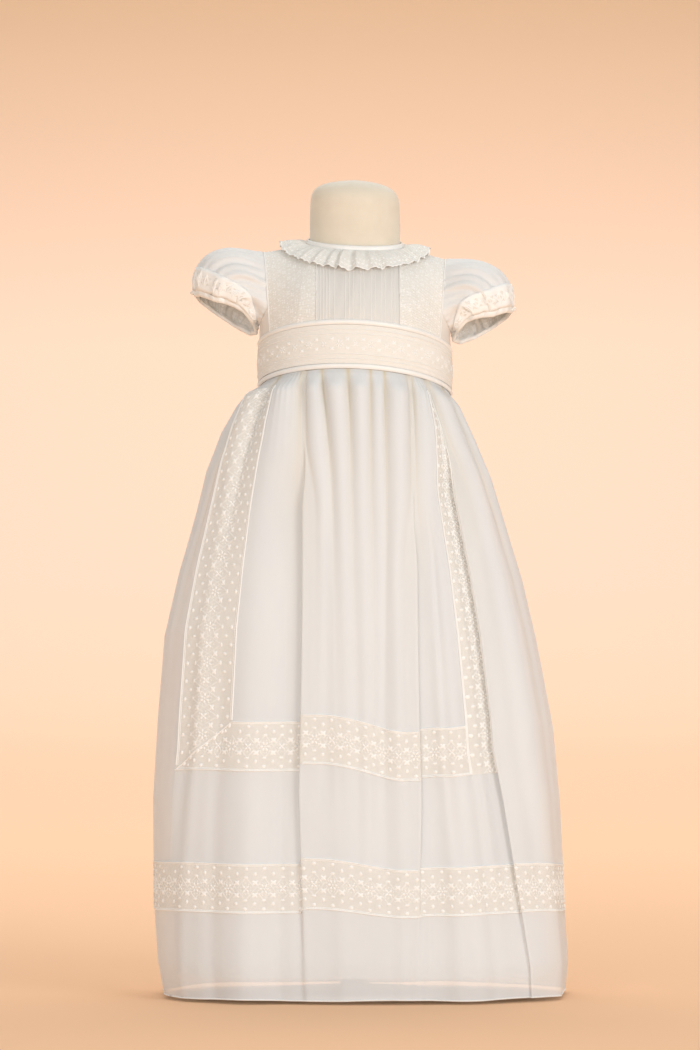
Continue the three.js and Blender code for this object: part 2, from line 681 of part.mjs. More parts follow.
function addLining() {
  for (const { name, first, last } of LINING_PANELS) {
    const outer = seamGaps(liningGrid(LINING_SHARES, 0, first, last));
    const inner = seamGaps(liningGrid(LINING_SHARES, -CLOTH, first, last));
    addMesh(name, wallGeometry(outer, inner), 'lining');
  }
  const laceShares = [LINING_BOTTOM + SEAM_GAP / WAIST_SIDE_Z, LINING_LACE_BOTTOM];
  const laceOuter = liningGrid(laceShares, 0);
  const laceInner = liningGrid(laceShares, -LACE);
  addMesh('lining_lace', wallGeometry(laceOuter, laceInner, true), 'lace');
}

// Bodice: curves that rise from the sash to the neck seam, the shoulder or the armhole

// A place on the seam of sash and bodice. turn: 0 is the centre front, +90 degrees the right.
function sashPoint(turn, side = 1) {
  const depth = Math.cos(turn) > 0 ? WAIST_FRONT : WAIST_BACK;
  const x = WAIST_HALF_WIDTH * Math.sin(turn);
  return [x, -depth * Math.cos(turn), sashZ(Math.cos(turn)) * side];
}

// Neck seam and shoulder line. front: 1 for the front, -1 for the back.
function topPoint(x, front) {
  const reach = Math.abs(x);
  if (reach < NECK_HALF_WIDTH) {
    const frontness = front * Math.sqrt(1 - (x / NECK_HALF_WIDTH) ** 2);
    return [x, -NECK_HALF_DEPTH * frontness, NECK_SIDE_Z - NECK_TILT * frontness];
  }
  const u = (reach - NECK_HALF_WIDTH) / (SHOULDER_X - NECK_HALF_WIDTH);
  return [x, -front * SEAM_GAP / 2, lerp(NECK_SIDE_Z, SHOULDER_Z, u)];
}

// One rising curve of the bodice, leaned over. share: 0 at the sash, 1 at the top.
function bodicePoint(bottomX, topX, front, share) {
  const turn = Math.asin(clamp(bottomX / WAIST_HALF_WIDTH, -1, 1));
  const bottom = sashPoint(front > 0 ? turn : Math.PI - turn);
  bottom[2] += SEAM_GAP;
  const bends = readTable(front > 0 ? FRONT_BENDS : BACK_BENDS, 'x', Math.abs(topX));
  const low = [lerp(bottomX, topX, 0.35), -front * bends.lowY, bends.lowZ];
  const high = [lerp(bottomX, topX, 0.8), -front * bends.highY, bends.highZ];
  return leaned(bezier(bottom, low, high, topPoint(topX, front), share));
}

function bodiceGrid(edges, front, rows = BODICE_ROWS) {
  const grid = [];
  for (let r = 0; r <= rows; r += 1) {
    grid.push(edges.map(({ bottom, top }) => bodicePoint(bottom, top, front, r / rows)));
  }
  return grid;
}

// Columns evenly spread between two pairs of edges.
function spreadEdges(bottomA, topA, bottomB, topB, count) {
  const edges = [];
  for (let i = 0; i <= count; i += 1) {
    edges.push({ bottom: lerp(bottomA, bottomB, i / count), top: lerp(topA, topB, i / count) });
  }
  return edges;
}

// Columns from a place near the centre to the side seam: round the neck, then along the shoulder.
function sideEdges(fromX, neckSteps, shoulderSteps) {
  const sign = Math.sign(fromX);
  const start = Math.asin(fromX / NECK_HALF_WIDTH);
  const tops = [];
  for (let i = 0; i < neckSteps; i += 1) {
    tops.push(NECK_HALF_WIDTH * Math.sin(lerp(start, sign * Math.PI / 2, i / neckSteps)));
  }
  for (let i = 0; i <= shoulderSteps; i += 1) {
    tops.push(sign * lerp(NECK_HALF_WIDTH, SHOULDER_X, i / shoulderSteps));
  }
  const edges = tops.map((top, i) =>
    ({ bottom: lerp(fromX, sign * SIDE_SEAM_X, i / (tops.length - 1)), top }));
  return sign < 0 ? edges.reverse() : edges;
}

// The outer and inner walls of one sheet of the bodice, before it is cut into its panels.
function bodiceSheet(edges, front, ridges = edges.map(() => 0)) {
  const surface = bodiceGrid(edges, front);
  const raised = movedGrid(surface, 1, front);
  const outer = surface.map((row, r) => row.map((point, c) => mix(point, raised[r][c], ridges[c])));
  const inner = movedGrid(surface, -CLOTH, front).map((row) => row.map(([x, y, z]) =>
    [x, front > 0 ? Math.min(y, -SEAM_GAP / 2) : Math.max(y, SEAM_GAP / 2), z]));
  return { outer, inner };
}

function addBodicePanel(name, look, sheet, first, last) {
  const cut = (grid) => seamGaps(grid.map((row) => row.slice(first, last + 1)));
  addMesh(name, wallGeometry(cut(sheet.outer), cut(sheet.inner)), look);
}

function addBodiceFront() {
  const left = sideEdges(TUCK_PANEL_LEFT, 3, 3);
  const right = sideEdges(TUCK_PANEL_RIGHT, 2, 3);
  const middle = [];
  const ridges = left.map(() => 0);
  const pitch = (TUCK_PANEL_RIGHT - TUCK_PANEL_LEFT) / (PIN_TUCKS + 1);
  for (let i = 1; i <= PIN_TUCKS; i += 1) {
    for (const step of [-1, 0, 1]) {
      const x = TUCK_PANEL_LEFT + i * pitch + step * PIN_TUCK_HALF;
      middle.push({ bottom: x, top: x });
      ridges.push(step === 0 ? PIN_TUCK_HEIGHT : 0);
    }
  }
  ridges.push(...right.map(() => 0));
  const sheet = bodiceSheet([...left, ...middle, ...right], 1, ridges);
  const leftSeam = left.length - 1;
  const rightSeam = left.length + middle.length;
  addBodicePanel('bodice_lace_left', 'lace', sheet, 0, leftSeam);
  addBodicePanel('bodice_front', 'sheer', sheet, leftSeam, rightSeam);
  addBodicePanel('bodice_lace_right', 'lace', sheet, rightSeam, rightSeam + right.length - 1);
}

function addBodiceBack() {
  for (const [name, x] of [['bodice_back_left', -BACK_OPENING], ['bodice_back_right', BACK_OPENING]]) {
    const edges = sideEdges(x, 6, 3);
    addBodicePanel(name, 'sheer', bodiceSheet(edges, -1), 0, edges.length - 1);
  }
}

// Share of the outermost curve at which it reaches the height of the armhole's lower part.
function armholeShare(front) {
  let low = 0;
  let high = 1;
  for (let i = 0; i < 40; i += 1) {
    const middle = (low + high) / 2;
    const point = bodicePoint(SIDE_SEAM_X, SHOULDER_X, front, middle);
    if (point[2] + LEAN * point[0] < ARMHOLE_SEAM_Z) low = middle;
    else high = middle;
  }
  return low;
}

// Lower edge of the armhole, under the arm. u: 0 at the front, 1 at the back. Right arm.
function underarmPoint(u) {
  const start = bodicePoint(SIDE_SEAM_X, SHOULDER_X, 1, armholeShare(1));
  const end = bodicePoint(SIDE_SEAM_X, SHOULDER_X, -1, armholeShare(-1));
  const turn = Math.PI * u;
  const middleY = (start[1] + end[1]) / 2;
  const halfY = (end[1] - start[1]) / 2;
  const x = lerp(start[0], ARMHOLE_BOTTOM_X, Math.sin(turn));
  const z = lerp(ARMHOLE_SEAM_Z, ARMHOLE_BOTTOM_Z, Math.sin(turn));
  return leaned([x, middleY - halfY * Math.cos(turn), z]);
}

// The whole armhole of the right arm, from the shoulder over the front, as evenly spaced points.
function armholeLoop(count) {
  const dense = [];
  const steps = 40;
  for (let i = 0; i <= steps; i += 1) {
    dense.push(bodicePoint(SIDE_SEAM_X, SHOULDER_X, 1, lerp(1, armholeShare(1), i / steps)));
  }
  for (let i = 1; i < steps; i += 1) dense.push(underarmPoint(i / steps));
  for (let i = 0; i <= steps; i += 1) {
    dense.push(bodicePoint(SIDE_SEAM_X, SHOULDER_X, -1, lerp(armholeShare(-1), 1, i / steps)));
  }
  const lengths = [0];
  for (let i = 1; i < dense.length; i += 1) {
    lengths.push(lengths[i - 1] + distance(dense[i], dense[i - 1]));
  }
  const total = lengths[lengths.length - 1];
  const loop = [];
  let i = 0;
  for (let c = 0; c < count; c += 1) {
    const wanted = (total * c) / count;
    while (lengths[i + 1] < wanted) i += 1;
    loop.push(mix(dense[i], dense[i + 1], (wanted - lengths[i]) / (lengths[i + 1] - lengths[i])));
  }
  return loop;
}

// Mirrors a grid of the right side to the left, with the lean kept.
function mirrored(grid, raise = 0) {
  return grid.map((row) => row.map(([x, y, z]) => [-x, y, z + 2 * LEAN * x + raise]));
}

function addBodiceSides() {
  const columns = 8;
  const rows = 3;
  const frontTurn = Math.asin(SIDE_SEAM_X / WAIST_HALF_WIDTH);
  const bottoms = [];
  const tops = [];
  for (let c = 0; c <= columns; c += 1) {
    const turn = lerp(frontTurn, Math.PI - frontTurn, c / columns);
    const bottom = sashPoint(turn);
    bottom[2] += SEAM_GAP;
    bottoms.push(leaned(bottom));
    tops.push(underarmPoint(c / columns));
  }
  const grid = [];
  for (let r = 0; r <= rows; r += 1) {
    grid.push(bottoms.map((bottom, c) => mix(bottom, tops[c], r / rows)));
  }
  const frontShare = armholeShare(1);
  const backShare = armholeShare(-1);
  for (let r = 0; r <= rows; r += 1) {
    grid[r][0] = bodicePoint(SIDE_SEAM_X, SHOULDER_X, 1, (frontShare * r) / rows);
    grid[r][columns] = bodicePoint(SIDE_SEAM_X, SHOULDER_X, -1, (backShare * r) / rows);
  }
  const sideGap = 1.5 * SEAM_GAP;
  const outer = seamGaps(grid, sideGap, sideGap);
  const inner = movedGrid(outer, -CLOTH, 1);
  addMesh('bodice_side_right', wallGeometry(outer, inner), 'sheer');
  addMesh('bodice_side_left', wallGeometry(mirrored(outer), mirrored(inner)), 'sheer');
}

// Back closing

function addPlacket() {
  const edges = spreadEdges(-BACK_OPENING - PLACKET_WIDTH, -BACK_OPENING - PLACKET_WIDTH,
    -BACK_OPENING, -BACK_OPENING, 2);
  const surface = bodiceGrid(edges, -1).map((row, r, rows) =>
    (r < rows.length - 1 ? row : row.map((point, c) => mix(rows[r - 1][c], point, PLACKET_END))));
  const outer = movedGrid(surface, SEAM_GAP + LACE, -1);
  const inner = movedGrid(surface, SEAM_GAP, -1);
  addMesh('bodice_placket', wallGeometry(outer, inner), 'sheer');
  const profile = [
    new THREE.Vector2(0, 0),
    new THREE.Vector2(BUTTON_RADIUS, 0),
    new THREE.Vector2(BUTTON_RADIUS, 0.6 * BUTTON_HEIGHT),
    new THREE.Vector2(0.55 * BUTTON_RADIUS, BUTTON_HEIGHT),
    new THREE.Vector2(0, BUTTON_HEIGHT),
  ];
  for (let i = 0; i < BUTTONS; i += 1) {
    const share = lerp(BUTTONS_FROM, BUTTONS_TO, i / (BUTTONS - 1));
    const x = -BACK_OPENING - PLACKET_WIDTH / 2;
    const below = new THREE.Vector3(...bodicePoint(x, x, -1, share - 0.02));
    const above = new THREE.Vector3(...bodicePoint(x, x, -1, share + 0.02));
    const out = above.clone().sub(below).cross(new THREE.Vector3(1, 0, 0)).normalize();
    const geometry = new THREE.LatheGeometry(profile, 12);
    const button = addMesh(`button_${i + 1}`, geometry, 'button');
    button.quaternion.setFromUnitVectors(new THREE.Vector3(0, 1, 0), out);
    const seat = SEAM_GAP + LACE + 2.5 * SEAM_GAP;
    button.position.copy(below.add(above).multiplyScalar(0.5).addScaledVector(out, seat));
  }
}

// Neck

// A ring round the neck, open at the centre back. halfWidth, front, back and z by turn.
function neckRow(count, place) {
  const row = [];
  const slit = BACK_OPENING / NECK_HALF_WIDTH;
  for (let i = 0; i <= count; i += 1) {
    row.push(leaned(place(lerp(-Math.PI + slit, Math.PI - slit, i / count), i)));
  }
  return row;
}

function neckPlace(turn, grow, rise) {
  const x = (NECK_HALF_WIDTH + grow) * Math.sin(turn);
  const y = -(NECK_HALF_DEPTH + grow) * Math.cos(turn);
  return [x, y, NECK_SIDE_Z - NECK_TILT * Math.cos(turn) + rise];
}

function addNeckBinding() {
  const count = 40;
  const rises = [2 * SEAM_GAP, NECK_BINDING_HEIGHT];
  const wall = NECK_BINDING_WALL / 2;
  const outer = rises.map((rise) => neckRow(count, (turn) => neckPlace(turn, wall, rise)));
  const inner = rises.map((rise) => neckRow(count, (turn) => neckPlace(turn, -wall, rise)));
  addMesh('neck_binding', wallGeometry(outer, inner), 'binding');
}

function addNeckRuffle() {
  const count = 3 * RUFFLE_WAVES;
  const start = 2.2;
  const startRise = 2;
  const heights = [0, 1, 0.35];
  const ruffleRow = (share, rise) => neckRow(count, (turn, i) => {
    const near = neckPlace(turn, start, startRise);
    const frontness = Math.cos(turn);
    const depth = frontness > 0 ? RUFFLE_OUTER.front : RUFFLE_OUTER.back;
    const drop = frontness > 0 ? RUFFLE_OUTER.frontDrop : RUFFLE_OUTER.backDrop;
    const wave = RUFFLE_WAVE_HEIGHT * (2 * heights[i % 3] - 0.9) * share;
    const far = [
      RUFFLE_OUTER.halfWidth * Math.sin(turn),
      -depth * frontness,
      RUFFLE_OUTER.sideZ - drop * Math.abs(frontness),
    ];
    const point = mix(near, far, share);
    const slope = frontness > 0 ? 0.75 * frontness : 0.25;
    const spread = Math.hypot(point[0], point[1]);
    point[0] += (point[0] / spread) * wave * slope;
    point[1] += (point[1] / spread) * wave * slope;
    point[2] += wave * (1 - 0.5 * slope) + rise;
    return point;
  });
  const outer = [ruffleRow(0, LACE), ruffleRow(1, LACE)];
  const inner = [ruffleRow(0, 0), ruffleRow(1, 0)];
  addMesh('neck_ruffle', wallGeometry(outer, inner), 'lace');
}

// Sleeves

// Rings of the right sleeve, each with its points in order from the top over the front.
function sleeveRings() {
  const armhole = armholeLoop(SLEEVE_COLUMNS);
  return SLEEVE_RINGS.map((ring, j) => {
    const share = j / (SLEEVE_RINGS.length - 1);
    const points = [];
    for (let c = 0; c < SLEEVE_COLUMNS; c += 1) {
      if (j === 0) {
        points.push([armhole[c][0] + SEAM_GAP, armhole[c][1], armhole[c][2]]);
        continue;
      }
      const turn = (2 * Math.PI * c) / SLEEVE_COLUMNS;
      const along = Math.cos(turn);
      const centreX = (ring.outerX + ring.innerX) / 2;
      const centreZ = (ring.outerZ + ring.innerZ) / 2;
      const reachX = (ring.outerX - ring.innerX) / 2;
      const reachZ = (ring.outerZ - ring.innerZ) / 2;
      const reach = Math.hypot(reachX, reachZ);
      const y = -ring.halfDepth * Math.sin(turn);
      const gather = SLEEVE_GATHER_HEIGHT * Math.cos(SLEEVE_GATHERS * turn) * (j < 6 ? 1 : 0.3);
      const swell = 1 + gather / reach;
      const drop = CUFF_TILT * y * share;
      points.push(leaned([
        centreX + reachX * along * swell + (reachZ / reach) * drop * 0.2,
        y * swell,
        centreZ + reachZ * along * swell - drop * (0.85 - 0.15 * along),
      ]));
    }
    return points;
  });
}

// A smooth line down each column of the sleeve, read by share from armhole to cuff.
function sleeveReader(rings) {
  const last = rings.length - 1;
  return (column, share) => {
    const at = clamp(share, 0, 1) * last;
    const i = Math.min(Math.floor(at), last - 1);
    const u = at - i;
    const pick = (j) => rings[clamp(j, 0, last)][column];
    return [0, 1, 2].map((k) =>
      through(pick(i - 1)[k], pick(i)[k], pick(i + 1)[k], pick(i + 2)[k], u));
  };
}

// Share of a column that lies a given length of cloth above the cuff's edge.
function shareAbove(read, column, length) {
  const step = 0.01;
  let walked = 0;
  let share = 1;
  while (share > 0.05 && walked < length) {
    walked += distance(read(column, share), read(column, share - step));
    share -= step;
  }
  return share;
}

function sleeveGrid(read, shareOf) {
  const row = [];
  for (let c = 0; c < SLEEVE_COLUMNS; c += 1) row.push(read(c, shareOf(c)));
  return row;
}

// Ring-wise offset of sleeve points, away from the middle of their own ring.
function swelledRow(row, offset) {
  const centre = row.reduce((sum, p) => [sum[0] + p[0], sum[1] + p[1], sum[2] + p[2]], [0, 0, 0])
    .map((value) => value / row.length);
  return row.map((point) => {
    const reach = distance(point, centre);
    return mix(centre, point, 1 + offset / reach);
  });
}

function addSleeves() {
  const rings = sleeveRings();
  const read = sleeveReader(rings);
  const cuffTop = [];
  const laceTop = [];
  for (let c = 0; c < SLEEVE_COLUMNS; c += 1) {
    const opposite = (SLEEVE_COLUMNS - c) % SLEEVE_COLUMNS;
    const whole = (length) => Math.min(shareAbove(read, c, length), shareAbove(read, opposite, length));
    cuffTop.push(Math.max(whole(CUFF_HEIGHT), 0.45));
    laceTop.push(Math.max(whole(CUFF_HEIGHT + SLEEVE_LACE_WIDTH), 0.2));
  }
  const upper = [0, 0.33, 0.68].map((part) => sleeveGrid(read, (c) => part * laceTop[c]));
  const lower = [0, 0.5, 1].map((part) => sleeveGrid(read, (c) => lerp(laceTop[c], cuffTop[c], part)));
  const sleeve = [...upper, ...lower];
  const innerSleeve = sleeve.map((row) => swelledRow(row, -CLOTH));
  const laceOuter = lower.map((row) => swelledRow(row, SEAM_GAP + LACE));
  const laceInner = lower.map((row) => swelledRow(row, SEAM_GAP));
  const cuffGap = (c) => Math.min(cuffTop[c] + CUFF_GAP_SHARE, 1);
  const cuffRows = [sleeveGrid(read, cuffGap), sleeveGrid(read, () => 1)];
  const cuffOuter = cuffRows.map((row) => swelledRow(row, CUFF_WALL / 2));
  const cuffInner = cuffRows.map((row) => swelledRow(row, -CUFF_WALL / 2));
  const pieces = [
    ['sleeve', 'sheer', sleeve, innerSleeve],
    ['sleeve_lace', 'lace', laceOuter, laceInner],
    ['cuff_binding', 'binding', cuffOuter, cuffInner],
  ];
  for (const [name, look, outer, inner] of pieces) {
    addMesh(`${name}_right`, wallGeometry(outer, inner, true), look);
    const left = [outer, inner].map((grid) => mirrored(grid.map(puffed)));
    addMesh(`${name}_left`, wallGeometry(left[0], left[1], true), look);
  }
}

// The left sleeve is the right one, a little fuller and higher the further it is from the body.
function puffed(row) {
  return row.map(([x, y, z]) => {
    const away = ease((x - SHOULDER_X - 1) / 45);
    return [x + (x - SHOULDER_X) * (LEFT_SLEEVE_PUFF - 1) * away, y, z + LEFT_SLEEVE_RAISE * away];
  });
}

// Sash

function sashRow(level, grow, firstTurn, lastTurn, count) {
  const row = [];
  for (let i = 0; i <= count; i += 1) {
    const turn = lerp(firstTurn, lastTurn, i / count);
    const depth = Math.cos(turn) > 0 ? WAIST_FRONT : WAIST_BACK;
    const x = (WAIST_HALF_WIDTH + grow) * Math.sin(turn);
    const y = -(depth + grow) * Math.cos(turn);
    const top = sashZ(Math.cos(turn)) - SEAM_GAP / 2;
    const bottom = waistZ(Math.cos(turn)) + SEAM_GAP / 2;
    row.push(leaned([x, y, lerp(bottom, top, level)]));
  }
  return row;
}

// One strip of the sash between two levels, 0 at the skirt and 1 at the bodice.
function addSashStrip(name, look, levels, wall, half) {
  const slit = BACK_OPENING / WAIST_HALF_WIDTH;
  const turns = half === 'front' ? [-Math.PI / 2, Math.PI / 2] : [Math.PI / 2, 1.5 * Math.PI];
  const gap = SEAM_GAP / WAIST_HALF_WIDTH / 2;
  const spans = half === 'front'
    ? [['', turns[0] + gap, turns[1] - gap, 22]]
    : [['_right', turns[0] + gap, Math.PI - slit, 11], ['_left', Math.PI + slit, turns[1] - gap, 11]];
  for (const [suffix, first, last, count] of spans) {
    const outer = levels.map(({ level, swell }) => sashRow(level, wall / 2 + swell, first, last, count));
    const inner = levels.map(({ level }) => sashRow(level, -wall / 2, first, last, count));
    addMesh(`${name}_${half}${suffix}`, wallGeometry(outer, inner), look);
  }
}

function addSash() {
  const height = SASH_SIDE_Z - WAIST_SIDE_Z;
  const edge = SASH_BINDING / height;
  const gap = SEAM_GAP / height;
  const bands = [
    ['sash_lace', 'lace', [{ level: edge + gap, swell: 0 }, { level: 0.5, swell: 0.6 },
      { level: 1 - edge - gap, swell: 0 }], SASH_WALL],
    ['sash_binding_top', 'binding', [{ level: 1 - edge, swell: 0 }, { level: 1, swell: 0 }],
      SASH_BINDING_WALL],
    ['sash_binding_bottom', 'binding', [{ level: 0, swell: 0 }, { level: edge, swell: 0 }],
      SASH_BINDING_WALL],
  ];
  for (const [name, look, levels, wall] of bands) {
    addSashStrip(name, look, levels, wall, 'front');
    addSashStrip(name, look, levels, wall, 'back');
  }
}

// Tie bows at the outer edge of each cuff

function addBow(name, side) {
  const half = BOW_WIDTH / 2;
  const shape = new THREE.Shape();
  shape.moveTo(0, 1.2);
  shape.quadraticCurveTo(half, 5, half, 1.5);
  shape.quadraticCurveTo(half, -2, 1.2, -1.2);
  shape.lineTo(4.4, -11);
  shape.lineTo(1.8, -10.4);
  shape.lineTo(0, -2.2);
  shape.lineTo(-1.8, -12.4);
  shape.lineTo(-4.4, -12);
  shape.lineTo(-1.2, -1.2);
  shape.quadraticCurveTo(-half, -2, -half, 1.5);
  shape.quadraticCurveTo(-half, 5, 0, 1.2);
  const geometry = new THREE.ExtrudeGeometry(shape, {
    depth: BOW_THICKNESS, bevelEnabled: false, curveSegments: 4,
  });
  const bow = addMesh(name, geometry, 'binding');
  const cuff = SLEEVE_RINGS[SLEEVE_RINGS.length - 1];
  const reach = cuff.outerX + CUFF_WALL / 2 + BOW_SEAT;
  const grown = side < 0 ? (cuff.outerX - SHOULDER_X) * (LEFT_SLEEVE_PUFF - 1) : 0;
  const raise = side < 0 ? LEFT_SLEEVE_RAISE : 0;
  bow.quaternion.setFromRotationMatrix(new THREE.Matrix4().makeBasis(
    new THREE.Vector3(0, side, 0), new THREE.Vector3(0, 0, 1), new THREE.Vector3(side, 0, 0),
  ));
  const x = side * (reach + grown);
  bow.position.set(x, 0, cuff.outerZ + 3 + raise - LEAN * x);
}

// Dress form and stand

function addForm() {
  const rows = FORM_SECTIONS.map((section) => {
    const row = [];
    for (let c = 0; c < FORM_COLUMNS; c += 1) {
      const turn = (2 * Math.PI * c) / FORM_COLUMNS;
      const depth = Math.cos(turn) > 0 ? section.front : section.back;
      const reach = squareReach(turn, section.halfWidth, depth, section.square);
      const point = [reach * Math.sin(turn), -reach * Math.cos(turn), section.z];
      row.push(leaned(point, ease((section.z - 500) / 80)));
    }
    return row;
  });
  const positions = rows.flat(2);
  const faces = [];
  const at = (r, c) => r * FORM_COLUMNS + (c % FORM_COLUMNS);
  for (let c = 0; c < FORM_COLUMNS; c += 1) {
    for (let r = 0; r < rows.length - 1; r += 1) {
      faces.push(at(r, c), at(r, c + 1), at(r + 1, c + 1));
      faces.push(at(r, c), at(r + 1, c + 1), at(r + 1, c));
    }
  }
  const bottom = positions.length / 3;
  positions.push(0, 0, FORM_SECTIONS[0].z);
  const top = bottom + 1;
  positions.push(0, 0, FORM_TOP_Z);
  for (let c = 0; c < FORM_COLUMNS; c += 1) {
    faces.push(bottom, at(0, c + 1), at(0, c));
    faces.push(top, at(rows.length - 1, c), at(rows.length - 1, c + 1));
  }
  addMesh('form_body', facingOut(positions, faces), 'form');
}

function addStand() {
  const base = new THREE.CylinderGeometry(BASE_RADIUS, BASE_RADIUS, BASE_THICKNESS, ROUND_SIDES);
  base.rotateX(Math.PI / 2);
  addMesh('stand_base', base, 'stand').position.z = BASE_THICKNESS / 2;
  const poleBottom = BASE_THICKNESS + SEAM_GAP;
  const poleTop = FORM_SECTIONS[0].z - SEAM_GAP;
  const pole = new THREE.CylinderGeometry(POLE_RADIUS, POLE_RADIUS, poleTop - poleBottom, 24);
  pole.rotateX(Math.PI / 2);
  addMesh('stand_pole', pole, 'stand').position.z = (poleTop + poleBottom) / 2;
}

addForm();
addStand();
addBodiceFront();
addBodiceBack();
addBodiceSides();
addPlacket();
addNeckBinding();
addNeckRuffle();
addSleeves();
addBow('cuff_bow_left', -1);
addBow('cuff_bow_right', 1);
addSash();
addSkirt();
addSkirtLace();
addLining();

export default group;
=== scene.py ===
# A long christening gown of sheer cloth with lace bands on a limbless child dress form.
# Shapes are worked out in millimetres in the row's frame and made in metres.

import math

import bpy
import numpy as np
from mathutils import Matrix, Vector


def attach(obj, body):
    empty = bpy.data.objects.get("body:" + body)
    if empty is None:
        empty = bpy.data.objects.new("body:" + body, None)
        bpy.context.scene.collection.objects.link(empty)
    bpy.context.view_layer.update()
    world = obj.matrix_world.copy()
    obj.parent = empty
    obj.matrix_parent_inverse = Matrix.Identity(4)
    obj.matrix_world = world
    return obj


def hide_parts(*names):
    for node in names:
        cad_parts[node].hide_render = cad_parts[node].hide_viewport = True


MM = 0.001

# Camera: level, straight in front. MM_PER_PIXEL holds in the plane y = 0.
MM_PER_PIXEL = 0.925
IMAGE_HEIGHT = 1050
CAMERA_X = -4.6
CAMERA_Z = 435
CAMERA_DISTANCE = 5500
SENSOR = 36

# Stage, in metres
FLOOR_FRONT = 8
FLOOR_HALF = 8
WALL_BEND = 6.4
BEND_RADIUS = 2
WALL_HEIGHT = 6
# Its colours from near and low to far and high: painted shade makes it deeper orange on the near floor and
# darker high on the wall
BACKDROP_SHADED_COLOURS = (
    (0.0, (0.97, 0.62, 0.385)), (0.14, (0.84, 0.585, 0.43)), (0.3, (0.78, 0.575, 0.46)),
    (0.55, (0.76, 0.56, 0.445)), (0.95, (0.50, 0.345, 0.225)),
)

# Waist and sash
LEAN = 0.038
WAIST_HALF_WIDTH = 88.5
WAIST_FRONT = 71.5
WAIST_BACK = 70
WAIST_SIDE_Z = 555
SASH_SIDE_Z = 597.3
WAIST_ARCH = 22.4
SASH_ARCH = 24.9
ARCH_SOFTNESS = 0.08
SASH_BINDING = 4.6
SASH_CORD_ROWS = (2, 4, 13, 15)

# Skirt: shares of its length, 0 at the waist seam and 1 at the hem
HEM_Z = 3.3
MIDDLE = 0.6
UPPER_LACE_TOP = 0.558
UPPER_LACE_BOTTOM = 0.637
LOWER_LACE_TOP = 0.783
LOWER_LACE_BOTTOM = 0.862
SIDE_LACE_TOP = 0.02
GATHER_HEIGHT = 0.58
BACK_GATHERS = 9
SKIRT_LENGTH = 552
ROW_STEP = 3.4
# Share, half width on the left and on the right, front, back, squareness
SKIRT_SECTIONS = np.array([
    (0.00, 88.5, 88.5, 71.5, 70, 2),
    (0.025, 99, 90.5, 75, 74, 2.1),
    (0.075, 117, 105.5, 81, 81, 2.2),
    (0.14, 133, 122.5, 87, 88, 2.35),
    (0.21, 144, 135, 92, 94, 2.5),
    (0.31, 161, 152, 97, 101, 2.6),
    (0.41, 174, 165, 101, 107, 2.7),
    (0.55, 180, 179.5, 105, 112, 2.8),
    (0.68, 184, 186, 108, 116, 2.9),
    (0.85, 183, 190.5, 111, 118, 2.95),
    (0.95, 179, 194, 112, 119, 3.0),
    (1.00, 174, 191.5, 112, 119, 3.0),
])
# Valleys of the front gathers: cloth from the centre front at waist, middle and hem; tuck.
FRONT_VALLEYS = [
    (-104, -186, -203, None),
    (-74.7, -141, -151, None),
    (-47.6, -46, -46, "centre_left"),
    (-31, -14, -14, None),
    (-6.5, 2, 2, None),
    (14.5, 16, 16, None),
    (27, 28, 28, None),
    (52, 57, 57, "centre_right"),
    (71, 130, 168, "side_right"),
    (94, 190, 212, None),
]
BACK_TUCKS = {("left", 4): "back_left", ("right", 5): "back_right"}
# Turned folds: the way they turn, half width, depth, how far they lift the hem beside them,
# the share where they start, and how far they relax towards the hem
TUCKS = {
    "centre_left": {"over": 1, "half": 9.5, "depth": 7, "lift": 7, "start": 0.1, "relax": 0.6},
    "centre_right": {"over": -1, "half": 8.5, "depth": 5.5, "lift": -3, "start": 0.16, "relax": 0.75},
    "side_right": {"over": 1, "half": 11, "depth": 7, "lift": 1.5, "start": 0.06, "relax": 0.3},
    "back_left": {"over": -1, "half": 10, "depth": 8, "lift": 4, "start": 0.12, "relax": 0.5},
    "back_right": {"over": 1, "half": 9.5, "depth": 7.5, "lift": 3, "start": 0.18, "relax": 0.6},
}
TUCK_LAP = 0.78
TUCK_GROWTH = 0.14
TUCK_WAIST_HALF = 1.9
TUCK_REACH = 26
LIFT_REACH = 46
RELAX_FROM = 0.64
WANDER = 1.4
# How far a turned fold's columns reach across it, how many they are, and how far apart others are
TUCK_EDGE = 0.96
TUCK_COLUMNS = 17
COLUMN_STEP = 2.6
# Where the cloth sags or rides up a little: place along the hem, spread, height
SAGS = [
    (-380, 50, 2.5), (-290, 40, -3), (-170, 45, 1.5), (44, 30, -4.5), (96, 26, -2.5), (190, 34, 2),
    (300, 42, -3), (395, 48, 2.5),
]
# Soft flutes: place along the hem, spread, height
FLUTES = [
    (-430, 30, 6), (-345, 26, 5), (-262, 24, 4), (-205, 18, 3), (-100, 20, 5), (8, 38, 3),
    (110, 26, 5), (205, 20, 4), (290, 28, 5), (372, 24, 4), (455, 28, 6),
]
FLUTE_START = 0.15
